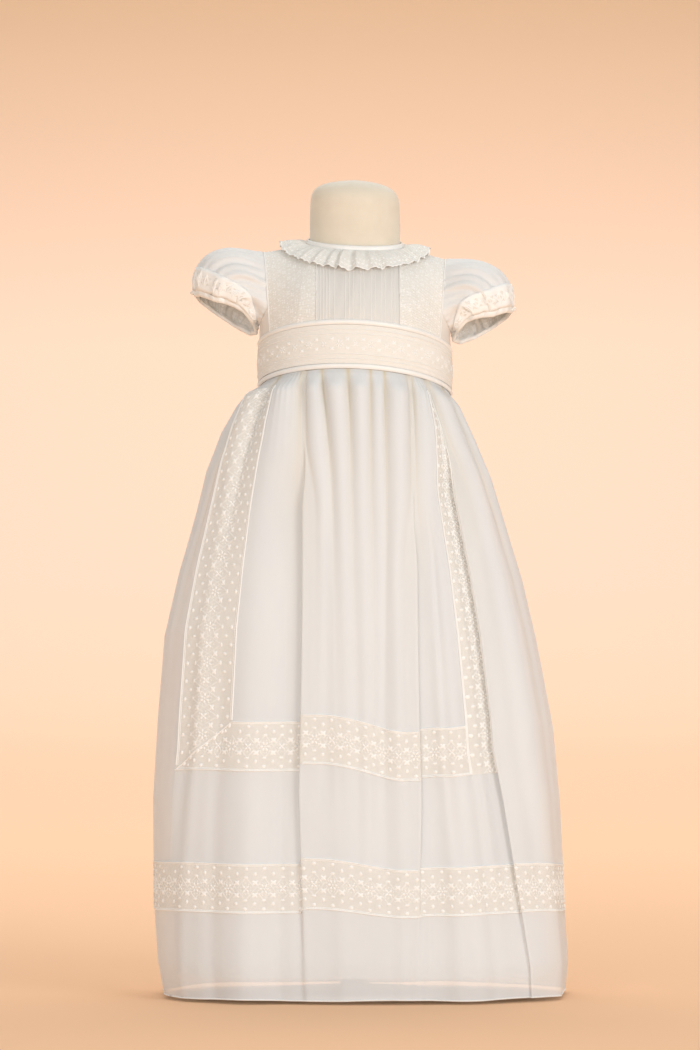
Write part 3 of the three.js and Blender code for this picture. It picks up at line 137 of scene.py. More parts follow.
# Soft troughs and ridges of the thin cloth: place along the hem, drift per share, spread,
# height, first and last share
DRAPES = [
    (-492, 10, 12, -1.8, 0.1, 0.9), (-452, -8, 15, 2.0, 0.2, 1.1), (-398, 6, 11, -2.2, 0.0, 0.8),
    (-372, 0, 14, 1.6, 0.3, 1.1), (-318, -12, 12, -2.0, 0.1, 1.0), (-288, 4, 10, 1.6, 0.0, 0.7),
    (-236, 6, 11, -2.2, 0.05, 1.1), (-182, 10, 9, -2.0, 0.0, 0.8), (-166, -6, 8, 1.5, 0.3, 1.1),
    (-128, 6, 9, -1.6, 0.35, 1.1), (-86, 4, 12, 1.8, 0.5, 1.1), (-66, -8, 8, -1.6, 0.2, 1.1),
    (-30, 4, 9, -1.6, 0.1, 0.75), (-12, -4, 10, 1.3, 0.2, 1.1), (24, 6, 9, -1.7, 0.1, 0.9),
    (44, 4, 8, 1.4, 0.3, 1.1), (84, -6, 10, 1.7, 0.3, 1.1), (98, 6, 8, -1.6, 0.15, 0.8),
    (132, 4, 9, -1.5, 0.4, 1.1), (152, 0, 9, 1.7, 0.2, 0.9), (186, 8, 9, -2.0, 0.05, 0.9),
    (226, -6, 12, -2.0, 0.2, 1.1), (262, 6, 11, 1.8, 0.1, 0.9), (318, -4, 12, -2.2, 0.0, 1.0),
    (346, 6, 11, 1.6, 0.3, 1.1), (402, -8, 13, -2.0, 0.1, 0.85), (436, 4, 12, 1.8, 0.2, 1.1),
    (486, 6, 13, -1.8, 0.15, 1.1),
]

# Lining
LINING_TOP = 0.006
LINING_BOTTOM = 0.946
LINING_LACE_BOTTOM = 0.965
LINING_COLUMNS = 240
LINING_LACE_COLUMNS = 360
# Share of the skirt's length, and how far inside the skirt
LINING_INSETS = [(0, 1.9), (0.03, 3.2), (0.1, 8), (0.2, 14), (1, 15)]

# Bodice
NECK_HALF_WIDTH = 43.5
NECK_HALF_DEPTH = 37
NECK_SIDE_Z = 692.3
NECK_TILT = 6.2
SHOULDER_X = 84
SHOULDER_Z = 683.6
ARMHOLE_BOTTOM_X = 88
ARMHOLE_BOTTOM_Z = 616.6
ARMHOLE_SEAM_Z = 634
SIDE_SEAM_X = 78
TUCK_PANEL_LEFT = -35
TUCK_PANEL_RIGHT = 41
# How the rising lines bend, by x at the top: low depth and z, high depth and z
FRONT_BENDS = [(0, 71.5, 646, 48, 670), (43, 64, 648, 32, 690), (84, 36, 641, 24, 683.6)]
BACK_BENDS = [(0, 70, 640, 52, 686), (43, 63, 644, 32, 692), (84, 36, 641, 24, 683.6)]
# Pin tucks of the bodice front, by x
PIN_TUCKS = (-32, -29.2, -26.4, -23.6, -19, -9, -5.5, -2, 4.6, 8, 14.8, 18.2, 24.2, 27.4, 33.4, 36.4)
BACK_PIN_TUCKS = (14, 17, 20, 34, 37, 40)
BACK_OPENING = 1.2

# Neck ruffle, with so many columns to a wave
RUFFLE_WAVES = 30
RUFFLE_COLUMNS = 14
RUFFLE_OUTER = {"width": 68, "front": 54, "back": 52, "z": 692, "front_drop": 22.4, "back_drop": 7}

# Right sleeve, ring by ring below the armhole: outer x and z, inner x and z, half depth
SLEEVE_RINGS = [
    (102, 683.4, 89.6, 615, 35.5),
    (119, 681.5, 90.6, 613.5, 38),
    (134.5, 673, 91.4, 612, 38),
    (143.5, 660, 92, 610.5, 36),
    (145.8, 647, 92.6, 609.2, 32.5),
    (143.5, 635.6, 93, 607.8, 29),
]
SLEEVE_COLUMNS = 160
SLEEVE_GATHERS = 10
SLEEVE_GATHER_HEIGHT = 1.3
SLEEVE_LACE_WIDTH = 22
CUFF_HEIGHT = 6
CUFF_TILT = 0.22
FRONT_CUFF_RISE = 9
LEFT_SLEEVE_PUFF = 1.05
LEFT_SLEEVE_RAISE = 4

# Back closing
PLACKET_WIDTH = 11
BUTTONS = 4
BUTTON_RADIUS = 4
BUTTON_HEIGHT = 2
# A button's profile: shares of its radius and of its height
BUTTON_PROFILE = [
    (0, 0.0), (0.9, 0), (1, 0.25), (1, 0.6), (0.93, 0.85), (0.8, 1), (0.62, 0.97), (0.5, 0.8),
    (0.25, 0.74), (0, 0.74),
]
BUTTONS_FROM = 0.12
BUTTONS_TO = 0.72

# Dress form: z, half width, front, back, square
FORM_SECTIONS = np.array([
    (462, 42, 34, 34, 2.2),
    (469, 66, 51, 51, 2.25),
    (490, 77, 60, 60, 2.25),
    (530, 79, 62, 61, 2.25),
    (620, 79, 61, 60, 2.2),
    (645, 78, 56, 55, 2.1),
    (660, 75, 48, 49, 2.05),
    (671, 67, 42, 43, 2),
    (679, 55, 37, 38.5, 2),
    (685, 44, 35.2, 36, 2),
    (690, 41.8, 35.2, 35.2, 2),
    (712, 41.8, 35.2, 35.2, 2),
    (738, 41, 34, 34, 2),
    (747, 36.5, 30, 30, 2),
    (752, 26, 21, 21, 2),
])
FORM_TOP_Z = 754
FORM_COLUMNS = 96
POLE_RADIUS = 11
POLE_TOP_Z = 461.4
BASE_RADIUS = 80
BASE_THICKNESS = 5

# Lace: one repeat is LACE_PITCH long. Rows of the chart: along in mm, across as a share of
# the half width, long and short radius in mm, turn in degrees, height in mm.
LACE_PITCH = 34
LACE_CHART = [
    (0, 0.80, 1.9, 1.6, 0, 0.7), (17, 0.80, 1.9, 1.6, 0, 0.7),
    (8.5, 0.60, 1.9, 1.5, 90, 0.7), (25.5, 0.60, 1.9, 1.5, 90, 0.7),
    (8.5, 0.25, 3.4, 1.15, 38, 0.55), (8.5, 0.25, 3.4, 1.15, -38, 0.55),
    (25.5, 0.25, 3.4, 1.15, 38, 0.55), (25.5, 0.25, 3.4, 1.15, -38, 0.55),
    (17, 0.46, 2.2, 1.1, 0, 0.55), (0, 0.46, 2.2, 1.1, 0, 0.55),
]
# Flowers: place along, reach and count of the ring of dots, reach, count and turn of the petals
FLOWERS = [(0, 5.6, 12, 3.3, 6, 0), (17, 4.8, 10, 2.4, 4, 45)]
# The two cords along each edge: place across, width, height
EDGE_CORDS = [(0.975, 1.4, 0.9), (0.915, 0.7, 0.45)]
SOWN_STEP = 5.2
NET_CELL = 1.5
LACE_OFFSET = 0.15


# Plain sums

def ease(u):
    v = np.clip(u, 0, 1)
    return v * v * (3 - 2 * v)


def mix(a, b, u):
    return a + (b - a) * u


def table_at(rows, at):
    """Reads every column of a table whose first column is sorted."""
    rows = np.asarray(rows, float)
    return [np.interp(at, rows[:, 0], rows[:, k]) for k in range(1, rows.shape[1])]


def leaned(points, amount=1):
    out = np.array(points, float)
    out[..., 2] -= LEAN * out[..., 0] * amount
    return out


def bezier(a, b, c, d, u):
    v = 1 - u
    return v**3 * a + 3 * v * v * u * b + 3 * v * u * u * c + u**3 * d


def normals_of(grid, ring=False):
    """Unit normals of a grid: out of the cloth where rows run down and columns to the right."""
    along = np.roll(grid, -1, 1) - np.roll(grid, 1, 1) if ring else np.gradient(grid, axis=1)
    n = np.cross(np.gradient(grid, axis=0), along)
    return n / np.maximum(np.linalg.norm(n, axis=2, keepdims=True), 1e-9)


def bell(x, middle, spread):
    return np.exp(-(((x - middle) / spread) ** 2))


def full_turn(count):
    return np.arange(count) * math.tau / count


def section_ring(turn, left, right, front, back, square):
    """Where a rounded section stands at each turn, from the front over the right."""
    across = (np.abs(np.sin(turn)) / np.where(np.sin(turn) < 0, left, right)) ** square
    deep = (np.abs(np.cos(turn)) / np.where(np.cos(turn) > 0, front, back)) ** square
    reach = (across + deep) ** (-1 / square)
    return reach * np.sin(turn), -reach * np.cos(turn)


def within(x, low, high):
    return (x >= low) & (x < high)


def lengths(line):
    steps = np.linalg.norm(np.diff(line, axis=0), axis=1)
    return np.concatenate([[0], np.cumsum(steps)])


# Meshes

def new_object(name, points, faces, material, uv=None):
    """A smooth mesh from places in metres."""
    mesh = bpy.data.meshes.new(name)
    mesh.vertices.add(len(points))
    mesh.vertices.foreach_set("co", points.ravel())
    mesh.loops.add(faces.size)
    mesh.loops.foreach_set("vertex_index", faces.ravel())
    mesh.polygons.add(len(faces))
    mesh.polygons.foreach_set("loop_start", np.arange(len(faces)) * faces.shape[1])
    mesh.polygons.foreach_set("use_smooth", np.full(len(faces), True))
    mesh.update(calc_edges=True)
    if uv is not None:
        layer = mesh.uv_layers.new(name="UVMap")
        layer.data.foreach_set("uv", uv[faces.ravel()].ravel())
    mesh.validate()
    mesh.materials.append(material)
    made = bpy.data.objects.new(name, mesh)
    bpy.context.scene.collection.objects.link(made)
    return made


def mesh_object(name, points, faces, material, replaces=(), uv=None):
    points = np.asarray(points, float).reshape(-1, 3) * MM
    piece = new_object(name, points, np.asarray(faces, int), material, uv)
    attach(piece, "root")
    if replaces:
        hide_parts(*replaces)
    return piece


def grid_faces(rows, columns, ring=False, keep=None):
    starts = columns if ring else columns - 1
    r, c = np.meshgrid(np.arange(rows - 1), np.arange(starts), indexing="ij")
    if keep is not None:
        r, c = r[keep], c[keep]
    r, c = r.ravel() * columns, c.ravel()
    d = (c + 1) % columns
    return np.stack([r + c, r + columns + c, r + columns + d, r + d], 1)


def turned(name, grid, material, replaces=()):
    """A closed shell from rings of points that run round from the front over the right."""
    faces = grid_faces(grid.shape[0], grid.shape[1], True)[:, ::-1]
    return mesh_object(name, grid, faces, material, replaces)


def cloth_uv(grid):
    """Lengths of cloth along and down a grid, in millimetres."""
    along = np.array([lengths(row) for row in grid])
    along -= along[:, along.shape[1] // 2][:, None]
    down = np.array([lengths(column) for column in grid.transpose(1, 0, 2)]).T
    return np.stack([along, down], 2)


def cloth(name, grid, material, replaces=(), ring=False, keep=None, marks=None):
    """A sheet. Its marks say how much of the material's painted_light colour each point takes: painted
    shade in the skirt's valleys, painted highlight on the bodice's sewn ridges.
    """
    faces = grid_faces(grid.shape[0], grid.shape[1], ring, keep)
    piece = mesh_object(name, grid, faces, material, replaces, cloth_uv(grid).reshape(-1, 2))
    if marks is not None:
        colours = np.ones((marks.size, 4))
        colours[:, :3] = marks.reshape(-1, 1)
        layer = piece.data.color_attributes.new("painted_light", "FLOAT_COLOR", "POINT")
        layer.data.foreach_set("color", colours.ravel())
    return piece


def declare(grid, ring=False, keep=None):
    """Works out the sheet's longest column and the corners of its faces, and keeps neither."""
    length = max(lengths(column)[-1] for column in grid.transpose(1, 0, 2))
    faces = grid_faces(grid.shape[0], grid.shape[1], ring, keep)
    a, b, c, d = grid.reshape(-1, 3)[faces].transpose(1, 0, 2)


# Materials

def nodes_of(name, settings):
    """A new material, its node tree and its shader with the plain settings made."""
    material = bpy.data.materials.new(name)
    material.use_nodes = True
    shader = material.node_tree.nodes["Principled BSDF"]
    for socket, value in settings.items():
        shader.inputs[socket].default_value = value
    return material, material.node_tree, shader


def link(tree, source, target):
    tree.links.new(source, target)


def math_node(tree, kind, *values):
    node = tree.nodes.new("ShaderNodeMath")
    node.operation = kind
    for socket, value in zip(node.inputs, values):
        if isinstance(value, (int, float)):
            socket.default_value = value
        else:
            link(tree, value, socket)
    return node.outputs[0]


def uv_axes(tree):
    uv = tree.nodes.new("ShaderNodeUVMap")
    uv.uv_map = "UVMap"
    split = tree.nodes.new("ShaderNodeSeparateXYZ")
    link(tree, uv.outputs[0], split.inputs[0])
    return uv.outputs[0], split.outputs[0], split.outputs[1]


def scaled_noise(tree, vector, scale, detail=2.0):
    mapping = tree.nodes.new("ShaderNodeMapping")
    mapping.inputs["Scale"].default_value = scale
    link(tree, vector, mapping.inputs["Vector"])
    noise = tree.nodes.new("ShaderNodeTexNoise")
    noise.inputs["Scale"].default_value = 1.0
    noise.inputs["Detail"].default_value = detail
    link(tree, mapping.outputs[0], noise.inputs["Vector"])
    return noise.outputs["Fac"]


def ramp(tree, value, stops):
    node = tree.nodes.new("ShaderNodeValToRGB")
    elements = node.color_ramp.elements
    elements[0].position = stops[0][0]
    elements[1].position = stops[-1][0]
    for at, _ in stops[1:-1]:
        elements.new(at)
    for element, (_, colour) in zip(elements, stops):
        element.color = (*colour, 1)
    link(tree, value, node.inputs[0])
    return node.outputs[0]


def wandering(tree, vector, scale, low, high):
    """A colour that changes slowly between two."""
    return ramp(tree, scaled_noise(tree, vector, scale, 3.0), ((0.3, low), (0.7, high)))


def bump(tree, height, shader, strength, distance):
    node = tree.nodes.new("ShaderNodeBump")
    node.inputs["Strength"].default_value = strength
    node.inputs["Distance"].default_value = distance
    link(tree, height, node.inputs["Height"])
    link(tree, node.outputs[0], shader.inputs["Normal"])


def woven(tree, vector, along, across, thread):
    """Over and under of single threads, with uneven ones among them."""
    waves = [math_node(tree, "SINE", math_node(tree, "MULTIPLY", way, math.tau / thread))
             for way in (along, across)]
    slubs = scaled_noise(tree, vector, (2.2, 0.05, 1), 1.0)
    threads = scaled_noise(tree, vector, (0.05, 2.2, 1), 1.0)
    uneven = math_node(tree, "ADD", slubs, threads)
    return math_node(tree, "MULTIPLY_ADD", math_node(tree, "MULTIPLY", *waves), 0.35, uneven)


def sheer_material(name, low, high, alpha, thread=0.55, painted_light=None):
    """Woven cloth. painted_light is the colour painted where the piece's marks say so: painted shade in
    valleys, painted highlight on sewn ridges.
    """
    material, tree, shader = nodes_of(name, {
        "Roughness": 0.48, "Sheen Weight": 0.35, "Sheen Roughness": 0.4, "Specular IOR Level": 0.3,
        "Alpha": alpha,
    })
    vector, along, down = uv_axes(tree)
    colour = wandering(tree, vector, (0.02, 0.008, 1), low, high)
    if painted_light:
        marks = tree.nodes.new("ShaderNodeVertexColor")
        marks.layer_name = "painted_light"
        blend = tree.nodes.new("ShaderNodeMix")
        blend.data_type = "RGBA"
        link(tree, marks.outputs["Color"], blend.inputs["Factor"])
        link(tree, colour, blend.inputs["A"])
        blend.inputs["B"].default_value = (*painted_light, 1)
        colour = blend.outputs["Result"]
    link(tree, colour, shader.inputs["Base Color"])
    bump(tree, woven(tree, vector, along, down, thread), shader, 0.22, 0.0003)
    return material


def lace_net(tree, along, across):
    """Lines of a fine diagonal net: 1 on a thread and 0 in a hole."""
    lines = []
    for kind in ("ADD", "SUBTRACT"):
        slanted = math_node(tree, "MULTIPLY", math_node(tree, kind, along, across), 1 / NET_CELL)
        lines.append(math_node(tree, "LESS_THAN", math_node(tree, "PINGPONG", slanted, 0.5), 0.15))
    return math_node(tree, "MAXIMUM", *lines)


def lace_material(name, low, high, hole_alpha):
    material, tree, shader = nodes_of(name, {"Roughness": 0.8, "Sheen Weight": 0.2})
    vector, along, down = uv_axes(tree)
    net = lace_net(tree, along, down)
    link(tree, wandering(tree, vector, (0.12, 0.12, 1), low, high), shader.inputs["Base Color"])
    alpha = math_node(tree, "MULTIPLY_ADD", net, 1 - hole_alpha, hole_alpha)
    link(tree, alpha, shader.inputs["Alpha"])
    bump(tree, net, shader, 0.3, 0.0003)
    return material


def thread_material(name, low, high, roughness=0.6, scale=1.2, sheen=0.25):
    """Cotton thread, satin binding or jersey: fine twist in the bump, slight change in colour."""
    material, tree, shader = nodes_of(name, {"Roughness": roughness, "Sheen Weight": sheen})
    place = tree.nodes.new("ShaderNodeTexCoord").outputs["Object"]
    link(tree, wandering(tree, place, (60, 60, 60), low, high), shader.inputs["Base Color"])
    bump(tree, scaled_noise(tree, place, (900 * scale,) * 3), shader, 0.3, 0.0002)
    return material


def enamel_material():
    material, tree, shader = nodes_of("stand_enamel", {"Roughness": 0.35})
    place = tree.nodes.new("ShaderNodeTexCoord").outputs["Object"]
    orange_peel = scaled_noise(tree, place, (260, 260, 260))
    colour = ramp(tree, orange_peel, ((0.3, (0.66, 0.62, 0.55)), (0.7, (0.70, 0.66, 0.6))))
    link(tree, colour, shader.inputs["Base Color"])
    bump(tree, orange_peel, shader, 0.08, 0.0003)
    return material


# The skirt's organza is painted a dark warm tint in the valleys of its gathers: painted shade.
SHEER = sheer_material("organza", (0.868, 0.882, 0.889), (0.903, 0.917, 0.924), 0.72,
                       painted_light=(0.80, 0.68, 0.48))
SLEEVE_SHEER = sheer_material("sleeve_organza", (0.835, 0.83, 0.815), (0.87, 0.868, 0.855), 0.88)
BODICE_SHEER = sheer_material("bodice_organza", (0.875, 0.85, 0.81), (0.90, 0.88, 0.845), 0.8)
# The tucked organza is painted lighter along its sewn ridges: painted highlight.
TUCKED_SHEER = sheer_material("tucked_organza", (0.86, 0.838, 0.80), (0.885, 0.868, 0.835), 0.8,
                              painted_light=(0.95, 0.93, 0.89))
LINING = sheer_material("lining_satin", (0.885, 0.885, 0.88), (0.91, 0.912, 0.91), 1.0, 0.7)
LACE = lace_material("lace_net", (0.865, 0.84, 0.785), (0.905, 0.885, 0.84), 0.6)
DENSE_LACE = lace_material("lace_dense", (0.87, 0.845, 0.785), (0.91, 0.89, 0.84), 0.8)
SASH_LACE = lace_material("sash_lace", (0.865, 0.835, 0.77), (0.895, 0.87, 0.82), 0.9)
THREAD = thread_material("lace_thread", (0.915, 0.905, 0.875), (0.945, 0.935, 0.91))
BINDING = thread_material("satin_binding", (0.87, 0.855, 0.82), (0.91, 0.90, 0.87), 0.42)
JERSEY = thread_material("form_jersey", (0.74, 0.66, 0.53), (0.79, 0.71, 0.58), 0.85, 0.7, 0.4)
PEARL = thread_material("button_pearl", (0.84, 0.80, 0.72), (0.88, 0.85, 0.79), 0.2)
ENAMEL = enamel_material()


# Skirt

def arch_share(frontness):
    return (frontness + np.sqrt(frontness * frontness + ARCH_SOFTNESS)) / 2


def waist_z(frontness):
    return WAIST_SIDE_Z + WAIST_ARCH * arch_share(frontness)


def sash_z(frontness):
    return SASH_SIDE_Z + SASH_ARCH * arch_share(frontness)


class Outline:
    """A section of the skirt, walked from the centre back over the left side and the front."""

    def __init__(self, share):
        turn = np.linspace(0, math.pi, 161)
        sides = {}
        for sign in (-1, 1):
            x, y = section_ring(sign * turn, *table_at(SKIRT_SECTIONS, share))
            sides[sign] = np.stack([sign * lengths(np.stack([x, y], 1)), x, y])
        self.half = {sign: abs(side[0, -1]) for sign, side in sides.items()}
        self.arc, self.x, self.y = np.concatenate([sides[-1][:, ::-1], sides[1][:, 1:]], 1)
        along_x = np.gradient(self.x, self.arc)
        along_y = np.gradient(self.y, self.arc)
        size = np.hypot(along_x, along_y)
        self.out_x = along_y / size
        self.out_y = -along_x / size

    def halves(self, cloth_place):
        return np.where(np.asarray(cloth_place) < 0, self.half[-1], self.half[1])

    def at(self, arc):
        columns = (self.x, self.y, self.out_x, self.out_y)
        x, y, out_x, out_y = (np.interp(arc, self.arc, column) for column in columns)
        size = np.hypot(out_x, out_y)
        return x, y, out_x / size, out_y / size


WAIST = Outline(0)
MIDDLE_LINE = Outline(MIDDLE)
HEM = Outline(1)


def all_valleys():
    lines = {"waist": WAIST, "middle": MIDDLE_LINE, "hem": HEM}
    valleys = [dict(zip((*lines, "tuck"), row)) for row in FRONT_VALLEYS]
    for sign, side in ((-1, "left"), (1, "right")):
        start = valleys[0 if sign < 0 else -1]
        for k in range(1, BACK_GATHERS + 1):
            uneven = 0.012 * math.sin(7.3 * k + sign) if k < BACK_GATHERS else 0
            u = k / BACK_GATHERS + uneven
            valley = {key: mix(start[key], sign * line.half[sign], u) for key, line in lines.items()}
            valley["tuck"] = BACK_TUCKS.get((side, k))
            valleys.insert(0 if sign < 0 else len(valleys), valley)
    return valleys


VALLEYS = all_valleys()


VALLEY_LINES = {key: np.array([v[key] for v in VALLEYS], float) for key in ("waist", "middle", "hem")}


def arc_at(share, outline, waist, middle, hem):
    """How far round the skirt a line of cloth runs at one share of the length."""
    half = outline.halves(waist)
    waist_half = WAIST.halves(waist)
    middle_half = MIDDLE_LINE.halves(waist)
    if share <= MIDDLE:
        part = (1 / waist_half - 1 / half) / (1 / waist_half - 1 / middle_half)
        return half * mix(waist / waist_half, middle / middle_half, part)
    at_hem = hem / HEM.halves(waist)
    return half * mix(middle / middle_half, at_hem, (share - MIDDLE) / (1 - MIDDLE))


def tuck_opening(tuck, share):
    return ease((share - tuck["start"]) / TUCK_GROWTH)


def tuck_fold(tuck, share):
    """How far a tuck folds over itself: it grows below the waist and relaxes near the hem."""
    eased = ease((share - RELAX_FROM) / (1 - RELAX_FROM))
    return tuck_opening(tuck, share) * (1 - tuck["relax"] * eased)


def tuck_half(tuck, share):
    return mix(TUCK_WAIST_HALF, tuck["half"], tuck_opening(tuck, share))


def make_columns():
    """Columns of the skirt: which gather, the phase in it, the place in a tuck, whether in one."""
    columns = [(0, 0, 0, False)]
    for i, (valley, following) in enumerate(zip(VALLEYS, VALLEYS[1:])):
        if valley["tuck"]:
            columns += [(i, 0, place, True) for place in np.linspace(-1, 1, TUCK_COLUMNS)]
        count = max(round((following["hem"] - valley["hem"]) / COLUMN_STEP), 8)
        last = count - 1 if following["tuck"] else count
        columns += [(i, k / count, 0, False) for k in range(1, last + 1)]
    return [np.array(values) for values in zip(*columns)]


COLUMN_GATHER, COLUMN_PHASE, COLUMN_PLACE, COLUMN_TUCK = make_columns()


COLUMN_NEXT = COLUMN_GATHER + 1


def column_cloth(key):
    return mix(VALLEY_LINES[key][COLUMN_GATHER], VALLEY_LINES[key][COLUMN_NEXT], COLUMN_PHASE)


COLUMN_WAIST = column_cloth("waist")
COLUMN_HEM = column_cloth("hem")


def gather_fade(share):
    return (ease(share / 0.03) * (0.1 + 0.9 * np.exp(-share / 0.15))
            * (1 - ease((share - 0.5) / 0.4)))


def tuck_moves(arc, lines, share):
    """How the turned folds move the cloth: outwards, sideways under the next cloth, and up."""
    depth, swing, lift = np.zeros((3, len(arc)))
    for line, valley in zip(lines, VALLEYS):
        if not valley["tuck"]:
            continue
        tuck = TUCKS[valley["tuck"]]
        opening = tuck_fold(tuck, share)
        if opening == 0:
            continue
        half = tuck_half(tuck, share)
        off = (arc - line) * tuck["over"]
        lap = TUCK_LAP * half * opening**2 / max(tuck_opening(tuck, share), 0.01)
        swing -= np.where(np.abs(off / half) < 1, tuck["over"] * lap * np.sin(math.pi * off / half), 0)
        turned_in = 0.5 - 0.5 * np.sin((math.pi / 2) * np.clip(off / half / 0.6, -1, 1))
        past = bell(np.maximum(-off - 0.6 * half, 0), 0, TUCK_REACH)
        depth -= tuck["depth"] * opening * turned_in * past
        beyond = np.maximum(off, 0) / LIFT_REACH
        lift += tuck["lift"] * opening * (1 - turned_in) * np.exp(-beyond**3)
    return depth, swing, lift


def along_hem(rows):
    """Sum of soft bells at places along the hem: place, spread and height of each."""
    return sum(height * bell(COLUMN_HEM, at, spread) for at, spread, height in rows)


def level_points(share):
    outline = Outline(share)
    wander = WANDER * ease(share / 0.25) * np.sin(6.5 * share + 1.7 * np.arange(len(VALLEYS)))
    lines = arc_at(share, outline, *VALLEY_LINES.values()) + wander
    reach = np.array([tuck_half(TUCKS[v["tuck"]], share) if v["tuck"] else 0 for v in VALLEYS])
    reach = TUCK_EDGE * reach
    arc = mix((lines + reach)[COLUMN_GATHER], (lines - reach)[COLUMN_NEXT], COLUMN_PHASE)
    in_tuck = lines[COLUMN_GATHER] + COLUMN_PLACE * reach[COLUMN_GATHER]
    arc = np.where(COLUMN_TUCK, in_tuck, arc)
    depth, swing, lift = tuck_moves(arc, lines, share)
    widths = np.diff(VALLEY_LINES["waist"])[COLUMN_GATHER]
    wave = np.sin(math.pi * np.clip(COLUMN_PHASE, 0, 1))
    gather = GATHER_HEIGHT * widths * wave ** mix(0.6, 1.5, ease(share / 0.35)) * gather_fade(share)
    gather = np.where(COLUMN_TUCK, 0, gather)
    grown = ease((share - FLUTE_START) / (1 - FLUTE_START))
    drape = 0
    for at, drift, spread, height, first, last in DRAPES:
        shown = ease((share - first) / 0.22) * (1 - ease((share - last + 0.12) / 0.12))
        middle = at + drift * math.sin(2.5 * share + at)
        drape = drape + shown * height * bell(COLUMN_HEM, middle, spread)
    # Fine pleats that run down from the gathering thread
    pleats = 0.5 * np.sin(COLUMN_WAIST * 1.9) * math.exp(-share / 0.045) * ease(share / 0.006)
    out = gather + grown * along_hem(FLUTES) + depth + drape * ease(share / 0.2) + pleats
    x, y, out_x, out_y = outline.at(arc + swing)
    x, y = x + out_x * out, y + out_y * out
    frontness = -WAIST.at(COLUMN_WAIST)[1] / WAIST_FRONT
    shown = ease(share / 0.4) * (1 - 0.55 * ease((share - 0.64) / 0.2))
    z = mix(waist_z(frontness) - 0.3, HEM_Z, share)
    z = z + (lift + shown * along_hem(SAGS)) * (1 - ease((share - 0.88) / 0.12))
    z = z + 0.5 * grown * np.sin(COLUMN_HEM / 21.0) * ease((share - 0.9) / 0.1)
    return np.stack([x, y, z - LEAN * x * (1 - share)], 1)


def skirt_shares():
    marks = [0, SIDE_LACE_TOP, UPPER_LACE_TOP, UPPER_LACE_BOTTOM, LOWER_LACE_TOP, LOWER_LACE_BOTTOM, 1]
    shares = [0.0]
    for low, high in zip(marks, marks[1:]):
        count = max(int(math.ceil((high - low) * SKIRT_LENGTH / ROW_STEP)), 5)
        shares += list(np.linspace(low, high, count + 1)[1:])
    return np.array(shares)


SHARES = skirt_shares()


def skirt_painted_shade():
    """How much painted shade each point of the skirt takes, 0 to 1: how deep in a gather's valley it is,
    fading down the skirt.
    """
    wave = np.sin(math.pi * np.clip(COLUMN_PHASE, 0, 1)) ** 0.8
    wave = np.where(COLUMN_TUCK, 0.3, wave)
    fade = np.exp(-SHARES / 0.17) * 0.95
    narrowing = mix(2.4, 1.3, ease(SHARES / 0.16))
    return np.clip(1 - wave, 0, 1)[None] ** narrowing[:, None] * fade[:, None]


SKIRT = np.array([level_points(share) for share in SHARES])
SKIRT_PAINTED_SHADE = skirt_painted_shade()


def row_at(share):
    return int(np.argmin(np.abs(SHARES - share)))


def column_at(waist, place=None):
    """The column nearest to a place at the waist, outside the tucks or at a place in one."""
    in_tuck, elsewhere = (2, 0) if place is None else (np.abs(COLUMN_PLACE - place), 9)
    miss = np.abs(COLUMN_WAIST - waist) + np.where(COLUMN_TUCK, in_tuck, elsewhere)
    return int(np.argmin(miss))


FIRST = 0
SIDE_BACK_LEFT = column_at(-186)
LACE_LEFT_OUTER = column_at(-94.2)
LACE_LEFT_INNER = column_at(-65.7)
LACE_RIGHT_INNER = column_at(64.7)
LACE_RIGHT_OUTER = column_at(71, 0.35)
SIDE_FRONT_RIGHT = column_at(94)
SIDE_BACK_RIGHT = column_at(182)
LAST = len(COLUMN_WAIST) - 1
UPPER_TOP, UPPER_BOTTOM = row_at(UPPER_LACE_TOP), row_at(UPPER_LACE_BOTTOM)
LOWER_TOP, LOWER_BOTTOM = row_at(LOWER_LACE_TOP), row_at(LOWER_LACE_BOTTOM)
SIDE_TOP = row_at(SIDE_LACE_TOP)


def laced(first, last):
    """True where a quad between two columns is lace and the sheer cloth is cut away."""
    r = np.arange(len(SHARES) - 1)[:, None]
    c = np.arange(first, last)[None, :]
    left = within(c, LACE_LEFT_OUTER, LACE_LEFT_INNER)
    right = within(c, LACE_RIGHT_INNER, LACE_RIGHT_OUTER)
    across = within(c, LACE_LEFT_INNER, LACE_RIGHT_INNER)
    return (within(r, SIDE_TOP, UPPER_BOTTOM) & (left | right)
            | within(r, UPPER_TOP, UPPER_BOTTOM) & across
            | within(r, LOWER_TOP, LOWER_BOTTOM))


def make_skirt():
    spans = {
        "skirt_back_left": (FIRST, SIDE_BACK_LEFT),
        "skirt_side_left": (SIDE_BACK_LEFT, LACE_LEFT_OUTER),
        "skirt_front": (LACE_LEFT_OUTER, SIDE_FRONT_RIGHT),
        "skirt_side_right": (SIDE_FRONT_RIGHT, SIDE_BACK_RIGHT),
        "skirt_back_right": (SIDE_BACK_RIGHT, LAST),
    }
    for name, (first, last) in spans.items():
        grid = SKIRT[:, first:last + 1]
        keep = ~laced(first, last)
        piece = cloth(f"{name}_cloth", grid, SHEER, [name], keep=keep,
                      marks=SKIRT_PAINTED_SHADE[:, first:last + 1])
        hem = tube(f"{name}_hem", grid[-1] + np.array([0, 0, 0.7]), 0.8, BINDING, 6, 3)
        declare(grid, keep=keep)


# Tubes, cords and lace threads

def tube(name, line, radius, material, sides=6, every=1):
    line = line[::every]
    along = np.gradient(line, axis=0)
    along /= np.maximum(np.linalg.norm(along, axis=1, keepdims=True), 1e-9)
    helper = np.where(np.abs(along[:, 2:3]) > 0.9, [[1.0, 0, 0]], [[0, 0, 1.0]])
    one = np.cross(along, helper)
    one /= np.linalg.norm(one, axis=1, keepdims=True)
    turns = np.linspace(0, math.tau, sides + 1)[:, None, None]
    grid = line + radius * (np.cos(turns) * one + np.sin(turns) * np.cross(along, one))
    return mesh_object(name, grid, grid_faces(sides + 1, len(line)), material)


